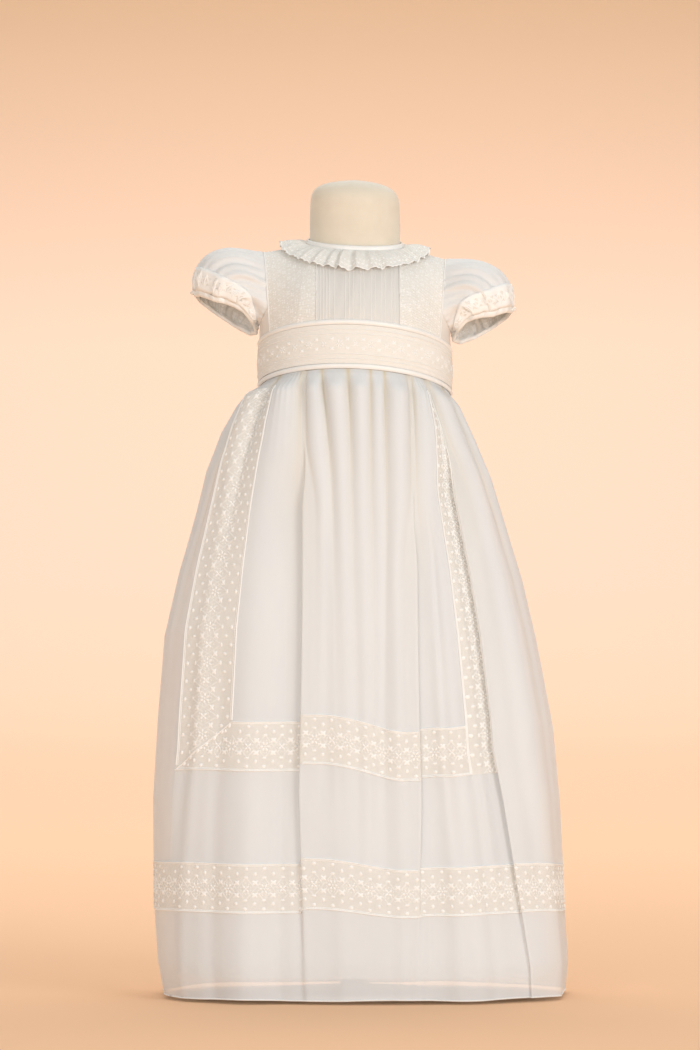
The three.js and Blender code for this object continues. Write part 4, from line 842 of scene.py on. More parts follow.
class Threads:
    """The raised parts of a band of lace. Rows run along the band, the first its lower edge."""

    def __init__(self, rows, lift_side=1):
        self.rows = rows
        self.out = normals_of(rows) * lift_side
        self.along = lengths(rows[len(rows) // 2])
        self.length = self.along[-1]
        across = lengths(rows[:, rows.shape[1] // 2])
        self.width = across[-1]
        self.half = self.width / 2
        self.across = across / self.width
        self.points = []
        self.faces = []
        self.count = 0

    def place(self, u, v, lift):
        """u in millimetres along, v from -1 to 1 across, lift in millimetres."""
        c = np.interp(u, self.along, np.arange(len(self.along)))
        r = np.interp((v + 1) / 2, self.across, np.arange(len(self.across)))
        c0 = np.clip(np.floor(c).astype(int), 0, self.rows.shape[1] - 2)
        r0 = np.clip(np.floor(r).astype(int), 0, self.rows.shape[0] - 2)
        fc, fr = (c - c0)[..., None], (r - r0)[..., None]
        both = []
        for grid in (self.rows, self.out):
            low = mix(grid[r0, c0], grid[r0, c0 + 1], fc)
            high = mix(grid[r0 + 1, c0], grid[r0 + 1, c0 + 1], fc)
            both.append(mix(low, high, fr))
        return both[0] + both[1] * lift[..., None]

    def add(self, points, faces):
        self.points.append(points)
        self.faces.append(faces + self.count)
        self.count += len(points)

    def oval(self, u, v, long, short, turn, height=0.55, sides=8):
        a = full_turn(sides)
        t = math.radians(turn)
        du = long * np.cos(a) * math.cos(t) - short * np.sin(a) * math.sin(t)
        dv = (long * np.cos(a) * math.sin(t) + short * np.sin(a) * math.cos(t)) / self.half
        us = np.concatenate([u + du, u + 0.62 * du, [u]])
        vs = np.concatenate([v + dv, v + 0.62 * dv, [v]])
        if us.min() < 0 or us.max() > self.length or np.abs(vs).max() > 1:
            return
        lift = np.concatenate([np.full(sides, 0.05), np.full(sides, 0.85 * height), [height]])
        k = np.arange(sides)
        n = (k + 1) % sides
        tip = np.full(sides, 2 * sides)
        corners = ((k, n, n + sides), (k, n + sides, k + sides), (k + sides, n + sides, tip))
        self.add(self.place(us, vs, lift), np.concatenate([np.stack(three, 1) for three in corners]))

    def cord(self, us, vs, width, height=0.6):
        """A raised cord along a line of places on the band."""
        du, dv = np.gradient(us), np.gradient(vs) * self.half
        size = np.hypot(du, dv)
        rails = []
        for side, lift in ((-1, 0.05), (-0.45, height), (0.45, height), (1, 0.05)):
            u = np.clip(us - side * dv / size * width / 2, 0, self.length)
            v = np.clip(vs + side * du / size * width / 2 / self.half, -1, 1)
            rails.append(self.place(u, v, np.full(len(u), lift)))
        quads = grid_faces(4, len(us))
        self.add(np.concatenate(rails), np.concatenate([quads[:, [0, 1, 2]], quads[:, [0, 2, 3]]]))

    def make(self, name):
        return mesh_object(name, np.concatenate(self.points), np.concatenate(self.faces), THREAD)


def lace_motifs(threads, keep=lambda u, v: True, pitch=LACE_PITCH, scale=1.0, edges=True):
    """Traditional insertion: corded edges, zigzags of dots, and flowers in a row of diamonds."""
    repeats = max(round(threads.length / pitch), 1)
    pitch = threads.length / repeats
    stretch = pitch / LACE_PITCH

    def oval(u, v, long, short, turn, height):
        if keep(u, v):
            threads.oval(u, v, long * scale, short * scale, turn, height)

    def oval_round(middle, reach, a, long, short, turn, height):
        oval(middle + scale * reach * math.cos(a), scale * reach * math.sin(a) / threads.half,
             long, short, turn, height)

    for start in np.arange(repeats + 1) * pitch:
        for side in (-1, 1):
            for u, v, long, short, turn, height in LACE_CHART:
                oval(start + u * stretch, side * v, long, short, side * turn, height)
        for place, dots_reach, dots, reach, petals, turn in FLOWERS:
            middle = start + place * stretch
            for a in full_turn(dots) + math.pi / dots:
                oval_round(middle, dots_reach, a, 0.62, 0.62, 0, 0.4)
            for a in full_turn(petals) + math.radians(turn):
                oval_round(middle, reach, a, 1.7, 0.95, math.degrees(a), 0.6)
            oval(middle, 0, 0.9, 0.9, 0, 0.7)
            # The crossing lines of the diamonds
            u = start + (place + np.linspace(0, LACE_PITCH / 2, 7)) * stretch
            v = 0.46 * np.abs(np.linspace(-1, 1, 7))
            for side in (-1, 1):
                if u[-1] <= threads.length and all(keep(a, side * b) for a, b in zip(u, v)):
                    threads.cord(u, side * v, 0.55 * scale, 0.3)
    if edges:
        u = np.linspace(0, threads.length, max(int(threads.length / 5), 4))
        for side in (-1, 1):
            for v, width, height in EDGE_CORDS:
                inside = np.array([keep(a, side * v) for a in u])
                if inside.sum() > 2:
                    threads.cord(u[inside], np.full(inside.sum(), side * v), width, height)


def sown_motifs(threads):
    """All-over lace: small dots and four-petalled flowers by turns, in staggered rows."""
    rows = int(threads.width / SOWN_STEP)
    for row in range(rows + 1):
        v = mix(-0.9, 0.9, row / rows)
        for column in range(int(threads.length / SOWN_STEP)):
            u = (column + 0.5 + 0.5 * (row % 2)) * SOWN_STEP
            if (column + row // 2) % 3:
                threads.oval(u, v, 0.85, 0.7, 0, 0.35, 6)
                continue
            for a in full_turn(4) + math.pi / 4:
                threads.oval(u + 1.5 * math.cos(a), v + 1.5 * math.sin(a) / threads.half, 1.15, 0.6,
                             math.degrees(a), 0.4, 6)


def lace_piece(node, grid, rests_on, material=LACE, ring=False, side=1, held="hung", upright=False,
               sewn=(), sown=False, **motifs):
    """A band of lace from a grid whose rows run along it, or down it if upright."""
    shown = grid + LACE_OFFSET * normals_of(grid, ring) * side
    piece = cloth(f"{node}_net", shown, material, [node], ring)
    rows = shown.transpose(1, 0, 2) if upright else shown
    if ring:
        rows = np.concatenate([rows, rows[:, :1]], 1)
    threads = Threads(rows, -side if upright else side)
    if sown:
        sown_motifs(threads)
    else:
        lace_motifs(threads, **motifs)
    extra = [*sewn, threads.make(f"{node}_net_threads")]
    declare(shown, ring)


def mitred_corner():
    """The end of the lace across, cut on the slant and sewn over the foot of the left lace."""
    grid = SKIRT[UPPER_TOP:UPPER_BOTTOM + 1, LACE_LEFT_OUTER:LACE_LEFT_INNER + 1]
    threads = Threads(grid + 0.2 * normals_of(grid))
    run = threads.length
    lace_motifs(threads, lambda u, v: u > run * (1 - (v + 1) / 2) + 1.5, edges=False)
    low_edge = np.linspace(0, run, 14)
    for first, (v, width, height) in enumerate(EDGE_CORDS):
        threads.cord(low_edge[first:], np.full(14 - first, v), width, height)
    slant = np.linspace(0.01, 0.99, 16)
    threads.cord(run * slant, 1 - 2 * slant, 1.5, 0.8)
    for s in slant[2:15:2]:
        threads.oval(run * s + 1.2, 1 - 2 * s + 0.04, 2.2, 1.5, -45, 0.8)
    return threads.make("skirt_lace_corner_threads")


def make_skirt_lace():
    upright_rows = slice(SIDE_TOP, UPPER_BOTTOM + 1)
    left = SKIRT[upright_rows, LACE_LEFT_OUTER:LACE_LEFT_INNER + 1]
    right = SKIRT[upright_rows, LACE_RIGHT_INNER:LACE_RIGHT_OUTER + 1]
    across = SKIRT[UPPER_TOP:UPPER_BOTTOM + 1, LACE_LEFT_INNER:LACE_RIGHT_INNER + 1]
    left_length = lengths(left[:, left.shape[1] // 2])[-1]
    lace_width = (UPPER_LACE_BOTTOM - UPPER_LACE_TOP) * SKIRT_LENGTH
    lace_piece("skirt_lace_left", left, "skirt_front_cloth", upright=True,
               keep=lambda u, v: (left_length - u) > (v + 1) / 2 * lace_width)
    lace_piece("skirt_lace_right", right, "skirt_front_cloth", upright=True)
    lace_piece("skirt_lace_across", across, "skirt_front_cloth", sewn=[mitred_corner()])
    bands = (
        ("left", FIRST, LACE_LEFT_OUTER, "skirt_side_left_cloth"),
        ("front", LACE_LEFT_OUTER, SIDE_FRONT_RIGHT, "skirt_front_cloth"),
        ("right", SIDE_FRONT_RIGHT, LAST, "skirt_side_right_cloth"),
    )
    for name, first, last, carrier in bands:
        lace_piece(f"skirt_lace_band_{name}", SKIRT[LOWER_TOP:LOWER_BOTTOM + 1, first:last + 1], carrier)


# Lining

def lining_level(share, count):
    outline = Outline(share)
    around = np.linspace(-1, 1, count + 1)[:-1]
    x, y, out_x, out_y = outline.at(around * outline.halves(around))
    waist_arc = around * WAIST.halves(around)
    z = mix(waist_z(-WAIST.at(waist_arc)[1] / WAIST_FRONT), HEM_Z, share)
    soft = 1.6 * ease(share / 0.2) * np.sin(around * 31 + 2 * math.sin(around[0] + 3 * share))
    inset = np.interp(share, *np.array(LINING_INSETS).T) - soft
    x, y = x - out_x * inset, y - out_y * inset
    return np.stack([x, y, z - LEAN * x * (1 - share)], 1)


def make_lining():
    shares = np.concatenate([np.linspace(LINING_TOP, 0.2, 16)[:-1], np.linspace(0.2, LINING_BOTTOM, 44)])
    grid = np.array([lining_level(s, LINING_COLUMNS) for s in shares])
    panels = [f"lining_{panel}" for panel in ("front", "back", "side_left", "side_right")]
    piece = cloth("lining_cloth", grid, LINING, panels, ring=True)
    declare(grid, ring=True)
    shares = np.linspace(LINING_BOTTOM, LINING_LACE_BOTTOM, 5)
    edge = np.array([lining_level(s, LINING_LACE_COLUMNS) for s in shares])
    edge[-1, :, 2] -= 1.1 * np.abs(np.sin(np.arange(LINING_LACE_COLUMNS) * math.pi / 4.5))
    trim = cloth("lining_lace_net", edge, DENSE_LACE, ["lining_lace"], ring=True)
    declare(edge, ring=True)


# Bodice

def waist_ring(turn, grow=0.0, level=1.0):
    """A line round the waist: level 0 is the sash's lower edge and 1 its upper edge."""
    along = np.cos(turn)
    depth = np.where(along > 0, WAIST_FRONT, WAIST_BACK) + grow
    z = mix(waist_z(along), sash_z(along), level)
    return leaned(np.stack([(WAIST_HALF_WIDTH + grow) * np.sin(turn), -depth * along, z], -1))


def top_point(x, front):
    frontness = front * np.sqrt(np.clip(1 - (x / NECK_HALF_WIDTH) ** 2, 0, 1))
    u = (np.abs(x) - NECK_HALF_WIDTH) / (SHOULDER_X - NECK_HALF_WIDTH)
    at_neck = np.abs(x) < NECK_HALF_WIDTH
    y = np.where(at_neck, -NECK_HALF_DEPTH * frontness, 0)
    z = np.where(at_neck, NECK_SIDE_Z - NECK_TILT * frontness, mix(NECK_SIDE_Z, SHOULDER_Z, u))
    return leaned(np.stack([x, y, z], -1))


def bodice_points(bottom_x, top_x, front, share):
    """Rising curves of the bodice. The three inputs are arrays of one shape."""
    bottom_x, top_x, share = np.broadcast_arrays(*(np.asarray(v, float) for v in (bottom_x, top_x, share)))
    turn = np.arcsin(np.clip(bottom_x / WAIST_HALF_WIDTH, -1, 1))
    bottom = waist_ring(turn if front > 0 else math.pi - turn)
    low_y, low_z, high_y, high_z = table_at(FRONT_BENDS if front > 0 else BACK_BENDS, np.abs(top_x))
    low = leaned(np.stack([mix(bottom_x, top_x, 0.35), -front * low_y, low_z], -1))
    high = leaned(np.stack([mix(bottom_x, top_x, 0.8), -front * high_y, high_z], -1))
    return bezier(bottom, low, high, top_point(top_x, front), share[..., None])


def bodice_grid(bottoms, tops, front, rows=44, last=1.0):
    return bodice_points(bottoms[None], tops[None], front, np.linspace(last, 0, rows + 1)[:, None])


def side_edges(from_x, neck_steps, shoulder_steps):
    sign = math.copysign(1, from_x)
    start = math.asin(from_x / NECK_HALF_WIDTH)
    neck = NECK_HALF_WIDTH * np.sin(np.linspace(start, sign * math.pi / 2, neck_steps + 1))[:-1]
    shoulder = sign * np.linspace(NECK_HALF_WIDTH, SHOULDER_X, shoulder_steps + 1)
    tops = np.concatenate([neck, shoulder])
    bottoms = np.linspace(from_x, sign * SIDE_SEAM_X, len(tops))
    return (bottoms[::-1], tops[::-1]) if sign < 0 else (bottoms, tops)


def tucked_cloth(name, grid, xs, places, height, width, side):
    """Bodice cloth with narrow sewn ridges on the columns whose foot is at the given places, painted
    lighter along the ridges as a painted highlight.
    """
    amount = np.max([bell(xs, place, width) for place in places], 0)
    grid = grid + normals_of(grid) * side * height * amount[None, :, None]
    # How much painted highlight each point takes, most on the ridges.
    marks = np.repeat(amount[None], grid.shape[0], 0)
    piece = cloth(f"{name}_cloth", grid, TUCKED_SHEER, [name], marks=marks)
    declare(grid)


def make_bodice():
    xs = np.linspace(TUCK_PANEL_LEFT, TUCK_PANEL_RIGHT, 260)
    front = bodice_grid(xs, xs, 1)
    puckers = 0.15 * np.sin(xs[None] * 0.55 + np.linspace(0, 9, front.shape[0])[:, None])
    front = front - normals_of(front) * puckers[..., None]
    tucked_cloth("bodice_front", front, xs, PIN_TUCKS, 0.3, 0.45, 1)
    for name, x, steps in (("left", TUCK_PANEL_LEFT, 3), ("right", TUCK_PANEL_RIGHT, 2)):
        grid = bodice_grid(*side_edges(x, 6 * steps, 26), 1)
        lace_piece(f"bodice_lace_{name}", grid, "form_cover_body", material=DENSE_LACE,
                   held="stretched", upright=True, sown=True)
        edges = grid + 0.5 * normals_of(grid)
        for part, column in (("inner", 0 if x > 0 else -1), ("outer", -1 if x > 0 else 0)):
            tube(f"bodice_lace_{name}_piping_{part}", edges[:, column], 0.75, BINDING)
    for name, sign in (("bodice_back_left", -1), ("bodice_back_right", 1)):
        bottoms, tops = side_edges(sign * BACK_OPENING, 90, 40)
        places = [sign * place for place in BACK_PIN_TUCKS]
        tucked_cloth(name, bodice_grid(bottoms, tops, -1), bottoms, places, 0.6, 0.6, -1)


def side_line(front, share):
    """Up the line from the foot of the side seam to the shoulder, in front or behind."""
    return bodice_points(SIDE_SEAM_X, SHOULDER_X, front, share)


def armhole_shares():
    shares = np.linspace(0, 1, 400)
    found = {}
    for front in (1, -1):
        points = side_line(front, shares)
        found[front] = np.interp(ARMHOLE_SEAM_Z, points[:, 2] + LEAN * points[:, 0], shares)
    return found


ARMHOLE_SHARE = armhole_shares()


def underarm_points(u):
    start, end = (side_line(front, ARMHOLE_SHARE[front]) for front in (1, -1))
    turn = math.pi * u
    x = mix(start[0], ARMHOLE_BOTTOM_X, np.sin(turn))
    y = (start[1] + end[1]) / 2 - (end[1] - start[1]) / 2 * np.cos(turn)
    z = mix(ARMHOLE_SEAM_Z, ARMHOLE_BOTTOM_Z, np.sin(turn))
    return leaned(np.stack([x, y, z], -1))


def armhole_loop(count):
    down = side_line(1, np.linspace(1, ARMHOLE_SHARE[1], 60))
    under = underarm_points(np.linspace(0, 1, 60)[1:-1])
    up = side_line(-1, np.linspace(ARMHOLE_SHARE[-1], 1, 60))
    dense = np.concatenate([down, under, up])
    walked = lengths(dense)
    wanted = np.arange(count) * walked[-1] / count
    return np.stack([np.interp(wanted, walked, dense[:, k]) for k in range(3)], 1)


def mirrored(grid, raised=0):
    out = np.array(grid, float)
    out[..., 2] += 2 * LEAN * out[..., 0] + raised
    out[..., 0] *= -1
    return out[:, ::-1]


def make_bodice_sides():
    columns, rows = 40, 16
    front_turn = math.asin(SIDE_SEAM_X / WAIST_HALF_WIDTH)
    bottoms = waist_ring(np.linspace(front_turn, math.pi - front_turn, columns + 1))
    tops = underarm_points(np.linspace(0, 1, columns + 1))
    up = np.linspace(1, 0, rows + 1)
    grid = mix(bottoms[None], tops[None], up[:, None, None])
    for column, front in ((0, 1), (-1, -1)):
        grid[:, column] = side_line(front, ARMHOLE_SHARE[front] * up)
    for name, points in (("bodice_side_right", grid), ("bodice_side_left", mirrored(grid))):
        piece = cloth(f"{name}_cloth", points, BODICE_SHEER, [name])
        declare(points)


def make_closing():
    count = 14
    xs = np.linspace(-BACK_OPENING - PLACKET_WIDTH, -BACK_OPENING, count)
    surface = bodice_grid(xs, xs, -1, 40, 0.95)
    from_edge = np.minimum(np.arange(count), np.arange(count)[::-1])
    proud = 0.4 + 0.6 * np.clip(from_edge / 1.5, 0, 1)
    grid = surface - normals_of(surface) * proud[None, :, None]
    piece = cloth("bodice_placket_cloth", grid, BODICE_SHEER, ["bodice_placket"])
    declare(grid)
    turns = full_turn(32)[:, None]
    x = -BACK_OPENING - PLACKET_WIDTH / 2
    for i in range(BUTTONS):
        share = mix(BUTTONS_FROM, BUTTONS_TO, i / (BUTTONS - 1))
        below, above = (bodice_points(x, x, -1, share + step) for step in (-0.02, 0.02))
        up = (above - below) / np.linalg.norm(above - below)
        outward = np.cross(up, [1.0, 0, 0])
        ring = (np.cos(turns) * np.cross(outward, up) + np.sin(turns) * up) * BUTTON_RADIUS
        grid = np.array([(below + above) / 2 + r * ring + outward * (1.2 + h * BUTTON_HEIGHT)
                         for r, h in BUTTON_PROFILE])
        turned(f"button_{i + 1}_shell", grid, PEARL, [f"button_{i + 1}"])


# Neck

def neck_place(turn, grow, rise):
    x = (NECK_HALF_WIDTH + grow) * np.sin(turn)
    y = -(NECK_HALF_DEPTH + grow) * np.cos(turn)
    return np.stack([x, y, NECK_SIDE_Z - NECK_TILT * np.cos(turn) + rise], -1)


def make_neck():
    slit = BACK_OPENING / NECK_HALF_WIDTH
    turns = np.linspace(-math.pi + slit, math.pi - slit, 240)
    # The binding's rounded profile, from its inner foot: how far out and how high
    profile = [(1.1, 0.8), (1.35, 3.0), (0.9, 5.0), (0, 5.7), (-0.8, 4.9), (-1.0, 2.6), (-0.9, 0.4)]
    grid = np.array([leaned(neck_place(turns, grow, rise)) for grow, rise in profile])
    binding = cloth("neck_binding_cloth", grid, BINDING, ["neck_binding"])
    count = RUFFLE_WAVES * RUFFLE_COLUMNS
    turns = np.linspace(-math.pi + slit, math.pi - slit, count + 1)
    phase = np.arange(count + 1) / RUFFLE_COLUMNS
    uneven = 0.5 * np.sin(phase * 0.9 + 1) + 0.4 * np.sin(phase * 2.3) + 0.25 * np.sin(phase * 4.1)
    wave = np.sin(math.tau * (phase + 0.2 * uneven)) + 0.4 * np.sin(2 * math.tau * phase + 3 * uneven)
    frontness = np.cos(turns)
    depth, drop = (np.where(frontness > 0, RUFFLE_OUTER[f"front{key}"], RUFFLE_OUTER[f"back{key}"])
                   for key in ("", "_drop"))
    far = np.stack([RUFFLE_OUTER["width"] * np.sin(turns), -depth * frontness,
                    RUFFLE_OUTER["z"] - drop * np.abs(frontness)], 1)
    slope = np.where(frontness > 0, 0.75 * frontness, 0.25)
    rows = []
    for share in np.linspace(0, 1, 12):
        point = mix(neck_place(turns, 1.6, 1.6), far, share * (1 + 0.03 * uneven[:, None]))
        arch = 2.6 * math.sin(math.pi * share) * (1 - 0.3 * share)
        lift = (1.1 + 0.7 * share) * (1 + 0.7 * uneven) * wave * ease(share / 0.2) + arch + 1.4 * share
        point[:, :2] *= 1 + (lift * slope / np.hypot(point[:, 0], point[:, 1]))[:, None]
        point[:, 2] += lift * (1 - 0.5 * slope)
        rows.append(point)
    scallop = np.abs(np.sin(math.tau * phase * 1.5)) * 1.6
    rows[-1][:, :2] *= (1 + scallop / 70)[:, None]
    rows[-1][:, 2] -= 0.5 * scallop * np.abs(frontness)
    grid = leaned(rows)
    piece = cloth("neck_ruffle_lace", grid, DENSE_LACE, ["neck_ruffle"])
    threads = Threads(grid)
    for u in np.arange(3, threads.length - 3, 4.2):
        threads.oval(u, 0.62, 1.3, 1.0, 0, 0.45, 6)
        threads.oval(u + 2.1, 0.25, 1.0, 0.8, 0, 0.4, 6)
    threads.cord(np.linspace(0, threads.length, count), np.full(count, 0.95), 0.9, 0.5)
    extra = [threads.make("neck_ruffle_threads"), binding]
    declare(grid)


# Sleeves

def sleeve_rings(count):
    turn = full_turn(count)
    along = np.cos(turn)
    rings = [armhole_loop(count) + np.array([0.2, 0, 0])]
    last = len(SLEEVE_RINGS)
    for j, (outer_x, outer_z, inner_x, inner_z, half_depth) in enumerate(SLEEVE_RINGS, 1):
        reach_x, reach_z = (outer_x - inner_x) / 2, (outer_z - inner_z) / 2
        reach = math.hypot(reach_x, reach_z)
        y = -half_depth * np.sin(turn)
        gather = SLEEVE_GATHER_HEIGHT * np.cos(SLEEVE_GATHERS * turn) * (1 if j < last else 0.3)
        fine = 0.8 * np.cos(23 * turn + 1.3 * math.sin(j)) * (1 if j < last else 0.2)
        swell = 1 + (gather + fine * ease((along + 0.6) / 0.6)) / reach
        drop = CUFF_TILT * y * j / last
        x = (outer_x + inner_x) / 2 + reach_x * along * swell + reach_z / reach * drop * 0.2
        z = (outer_z + inner_z) / 2 + reach_z * along * swell - drop * (0.85 - 0.15 * along)
        inward = np.clip(0.35 - along, 0, 1)
        z = z + FRONT_CUFF_RISE * np.clip(np.sin(turn), 0, 1) * inward * (j / last) ** 0.8
        rings.append(leaned(np.stack([x, y * swell, z], 1)))
    return np.array(rings)


def through_rings(rings, share):
    """A smooth line down each column, read at one share per column."""
    last = len(rings) - 1
    at = np.clip(share, 0, 1) * last
    i = np.minimum(np.floor(at).astype(int), last - 1)
    u = (at - i)[:, None]
    columns = np.arange(rings.shape[1])
    a, b, c, d = (rings[np.clip(i + k, 0, last), columns] for k in (-1, 0, 1, 2))
    from_slope, to_slope = (c - a) / 2, (d - b) / 2
    return ((2 * u**3 - 3 * u**2 + 1) * b + (u**3 - 2 * u**2 + u) * from_slope
            + (3 * u**2 - 2 * u**3) * c + (u**3 - u**2) * to_slope)


def share_above(rings, length):
    """Share of each column that lies a length of cloth above the cuff's edge."""
    shares = np.linspace(1, 0, 101)
    lines = np.array([through_rings(rings, np.full(rings.shape[1], s)) for s in shares])
    return np.array([np.interp(length, lengths(line), shares) for line in lines.transpose(1, 0, 2)])


def puffed(grid):
    out = np.array(grid, float)
    away = ease((out[..., 0] - SHOULDER_X - 1) / 45)
    out[..., 2] += LEFT_SLEEVE_RAISE * away
    out[..., 0] += (out[..., 0] - SHOULDER_X) * (LEFT_SLEEVE_PUFF - 1) * away
    return out


def make_sleeves():
    rings = sleeve_rings(SLEEVE_COLUMNS)
    opposite = -np.arange(SLEEVE_COLUMNS) % SLEEVE_COLUMNS

    def seam(length, least):
        share = share_above(rings, length)
        return np.maximum(np.minimum(share, share[opposite]), least)

    def rows_between(above, below, count):
        return np.array([through_rings(rings, mix(above, below, u)) for u in np.linspace(0, 1, count)])

    def pushed(rows, down, around):
        return rows + normals_of(rows, True) * (down[:, None] * around)[..., None]

    cuff = seam(CUFF_HEIGHT, 0.45)
    lace = seam(CUFF_HEIGHT + SLEEVE_LACE_WIDTH, 0.2)
    turn = full_turn(SLEEVE_COLUMNS)
    # Soft folds that fan out from the armhole's gathers
    fans = np.sin(turn * 26 + 1.5 * np.sin(turn * 3)) * 0.9 + np.sin(turn * 15 + 1) * 0.6
    fans *= 0.55 + 0.45 * np.sin(turn * 5 + 2)
    down = np.linspace(0, 1, 34)
    fade = np.exp(-down / 0.28) * ease(down / 0.05)
    upper = pushed(rows_between(0 * lace, lace, len(down)), -fade, fans)
    creases = 1.6 * bell(np.sin(turn * 7), 1, 0.06) + 0.5 * np.sin(turn * 31)
    grown = np.sin(np.linspace(0.15, math.pi * 0.75, 20)) ** 1.2
    lower = pushed(rows_between(lace, cuff, len(grown)), grown, creases)
    # The cuff's binding goes down outside, where the normals point inwards, and up inside
    bulge = np.sin(np.linspace(0, math.pi, 9))
    cuff_rows = pushed(rows_between(cuff, np.ones_like(cuff), len(bulge)), -0.4 - bulge, 1)
    inner_rows = pushed(cuff_rows, 0.8 + 2 * bulge, 1)[::-1]
    band = np.concatenate([cuff_rows, inner_rows[1:]])
    for side in ("right", "left"):
        top, low, ring = (grid if side == "right" else mirrored(puffed(grid))
                          for grid in (upper, lower, band))
        piece = cloth(f"sleeve_{side}_cloth", top, SLEEVE_SHEER, [f"sleeve_{side}"], True)
        declare(top, ring=True)
        node = f"cuff_binding_{side}"
        binding = cloth(f"{node}_cloth", ring, BINDING, [node], True)
        lace_piece(f"sleeve_lace_{side}", low, f"sleeve_{side}_cloth", material=DENSE_LACE, ring=True,
                   side=-1, pitch=15, scale=0.5, sewn=[binding])


# Sash

def sash_rows(levels, first, last, count):
    turn = np.linspace(first, last, count + 1)
    return np.array([waist_ring(turn, grow, level) for level, grow in levels])


def make_sash():
    edge = SASH_BINDING / (SASH_SIDE_Z - WAIST_SIDE_Z)
    slit = BACK_OPENING / WAIST_HALF_WIDTH
    spans = {
        "front": (-math.pi / 2, math.pi / 2, 160),
        "back_right": (math.pi / 2, math.pi - slit, 80),
        "back_left": (math.pi + slit, 1.5 * math.pi, 80),
    }
    levels = [(mix(1 - edge, edge, u), 0.9 + 0.8 * math.sin(math.pi * u)) for u in np.linspace(0, 1, 18)]
    # The rounded section of a binding: place from its outer edge, and how far it stands out
    section = [(0, 0.3), (0.12, 1.3), (0.35, 1.8), (0.65, 1.8), (0.88, 1.3), (1, 0.3)]
    for name, span in spans.items():
        grid = sash_rows(levels, *span)
        down, along = (np.sin(np.linspace(0, end, n)) for end, n in zip((40, 7), grid.shape))
        ripple = np.outer(down, along)
        grid = grid + normals_of(grid) * 0.35 * ripple[..., None]
        sewn = []
        for where, low, high in (("top", 1 - edge, 1.0), ("bottom", 0.0, edge)):
            rows = sash_rows([(mix(high, low, u), grow) for u, grow in section], *span)
            node = f"sash_binding_{where}_{name}"
            sewn.append(cloth(f"{node}_cloth", rows, BINDING, [node]))
        proud = grid + 0.15 * normals_of(grid)
        for k, row in enumerate(SASH_CORD_ROWS, 1):
            sewn.append(tube(f"sash_cord_{name}_{k}", proud[row], 0.35, THREAD, 5, 2))
        lace_piece(f"sash_lace_{name}", grid, "form_cover_body", material=SASH_LACE, held="stretched",
                   pitch=30, scale=0.7, edges=False, sewn=sewn, keep=lambda u, v: abs(v) < 0.3)


# Tie bows with a pearl at the outer edge of each cuff

def make_bow(side):
    name = "right" if side > 0 else "left"
    outer_x, outer_z = SLEEVE_RINGS[-1][:2]
    grown = (outer_x - SHOULDER_X) * (LEFT_SLEEVE_PUFF - 1) if side < 0 else 0
    x = side * (outer_x + 2.2 + grown)
    centre = np.array([x, 0, outer_z + 4 + (LEFT_SLEEVE_RAISE if side < 0 else 0) - LEAN * x])
    u = np.linspace(0, 1, 17)
    strips = []
    for way in (-1, 1):
        loop = np.stack([side * 1.6 * np.sin(math.tau * u), way * 6.4 * np.sin(math.pi * u),
                         2.1 * np.sin(math.tau * u) + 0.6], 1)
        end = np.stack([side * (0.3 + 0.8 * u), way * 3.6 * u, -13 * u + way * 0.8 * np.sin(3 * u)], 1)
        for line, half in ((loop, (0, 0.2, 1.1)), (end, (0, 1.1, 0.2))):
            strips += [line - half, line + half]
    faces = np.concatenate([grid_faces(2, len(u)) + 2 * len(u) * k for k in range(4)])
    mesh_object(f"cuff_bow_{name}_ribbon", np.array(strips) + centre, faces, BINDING,
                [f"cuff_bow_{name}"])
    turns = full_turn(20)
    tilt = np.linspace(0, math.pi, 11)
    ball = np.stack([np.outer(np.cos(tilt), np.ones(20)), np.outer(np.sin(tilt), np.cos(turns)),
                     np.outer(np.sin(tilt), np.sin(turns))], 2)
    ball = 2.1 * ball + centre + np.array([side * 1.6, 0, 0.4])
    turned(f"cuff_pearl_{name}", ball, PEARL)


# Dress form and stand

def make_form():
    turns = full_turn(FORM_COLUMNS)
    rows = []
    for z in [*np.linspace(462, 480, 10), *np.linspace(484, 636, 26), *np.linspace(640, 752, 50)]:
        width, front, back, square = table_at(FORM_SECTIONS, z)
        x, y = section_ring(turns, width, width, front, back, square)
        rows.append(leaned(np.stack([x, y, np.full(FORM_COLUMNS, z)], 1), ease((z - 500) / 80)))
    rim = rows[-1]
    for scale, z in ((0.6, 753.3), (0.3, 753.8), (0.001, FORM_TOP_Z)):
        rows.append(np.column_stack([rim[:, :2] * scale, np.full(FORM_COLUMNS, z)]))
    grid = np.array(rows)
    # Soften the steps between the sections
    for _ in range(6):
        grid[1:-1] = 0.5 * grid[1:-1] + 0.25 * (grid[:-2] + grid[2:])
    bottom = grid[:1] * (0.02, 0.02, 1)
    piece = turned("form_cover_body", np.concatenate([bottom, grid]), JERSEY, ["form_body"])


def lathe(name, profile, replaces):
    turns = full_turn(FORM_COLUMNS)
    r, z = (np.array(column, float)[:, None] for column in zip(*profile))
    grid = np.stack([r * np.sin(turns), -r * np.cos(turns), z + 0 * turns], 2)
    turned(name, grid, ENAMEL, [replaces])


def make_stand():
    r, t, p = BASE_RADIUS, BASE_THICKNESS, POLE_RADIUS
    disc = [(0.01, 0), (r - 1.2, 0), (r - 0.3, 0.4), (r, 1.2), (r, t - 1.6), (r - 0.5, t - 0.5),
            (r - 1.6, t), (p + 3, t), (0.01, t)]
    pole = [(0.01, t + 0.3), (p + 3.5, t + 0.3), (p + 3.5, t + 5), (p + 2.5, t + 7), (p, t + 8.5),
            (p, POLE_TOP_Z), (0.01, POLE_TOP_Z)]
    lathe("stand_base_disc", disc, "stand_base")
    lathe("stand_pole_tube", pole, "stand_pole")


# Stage, light and camera

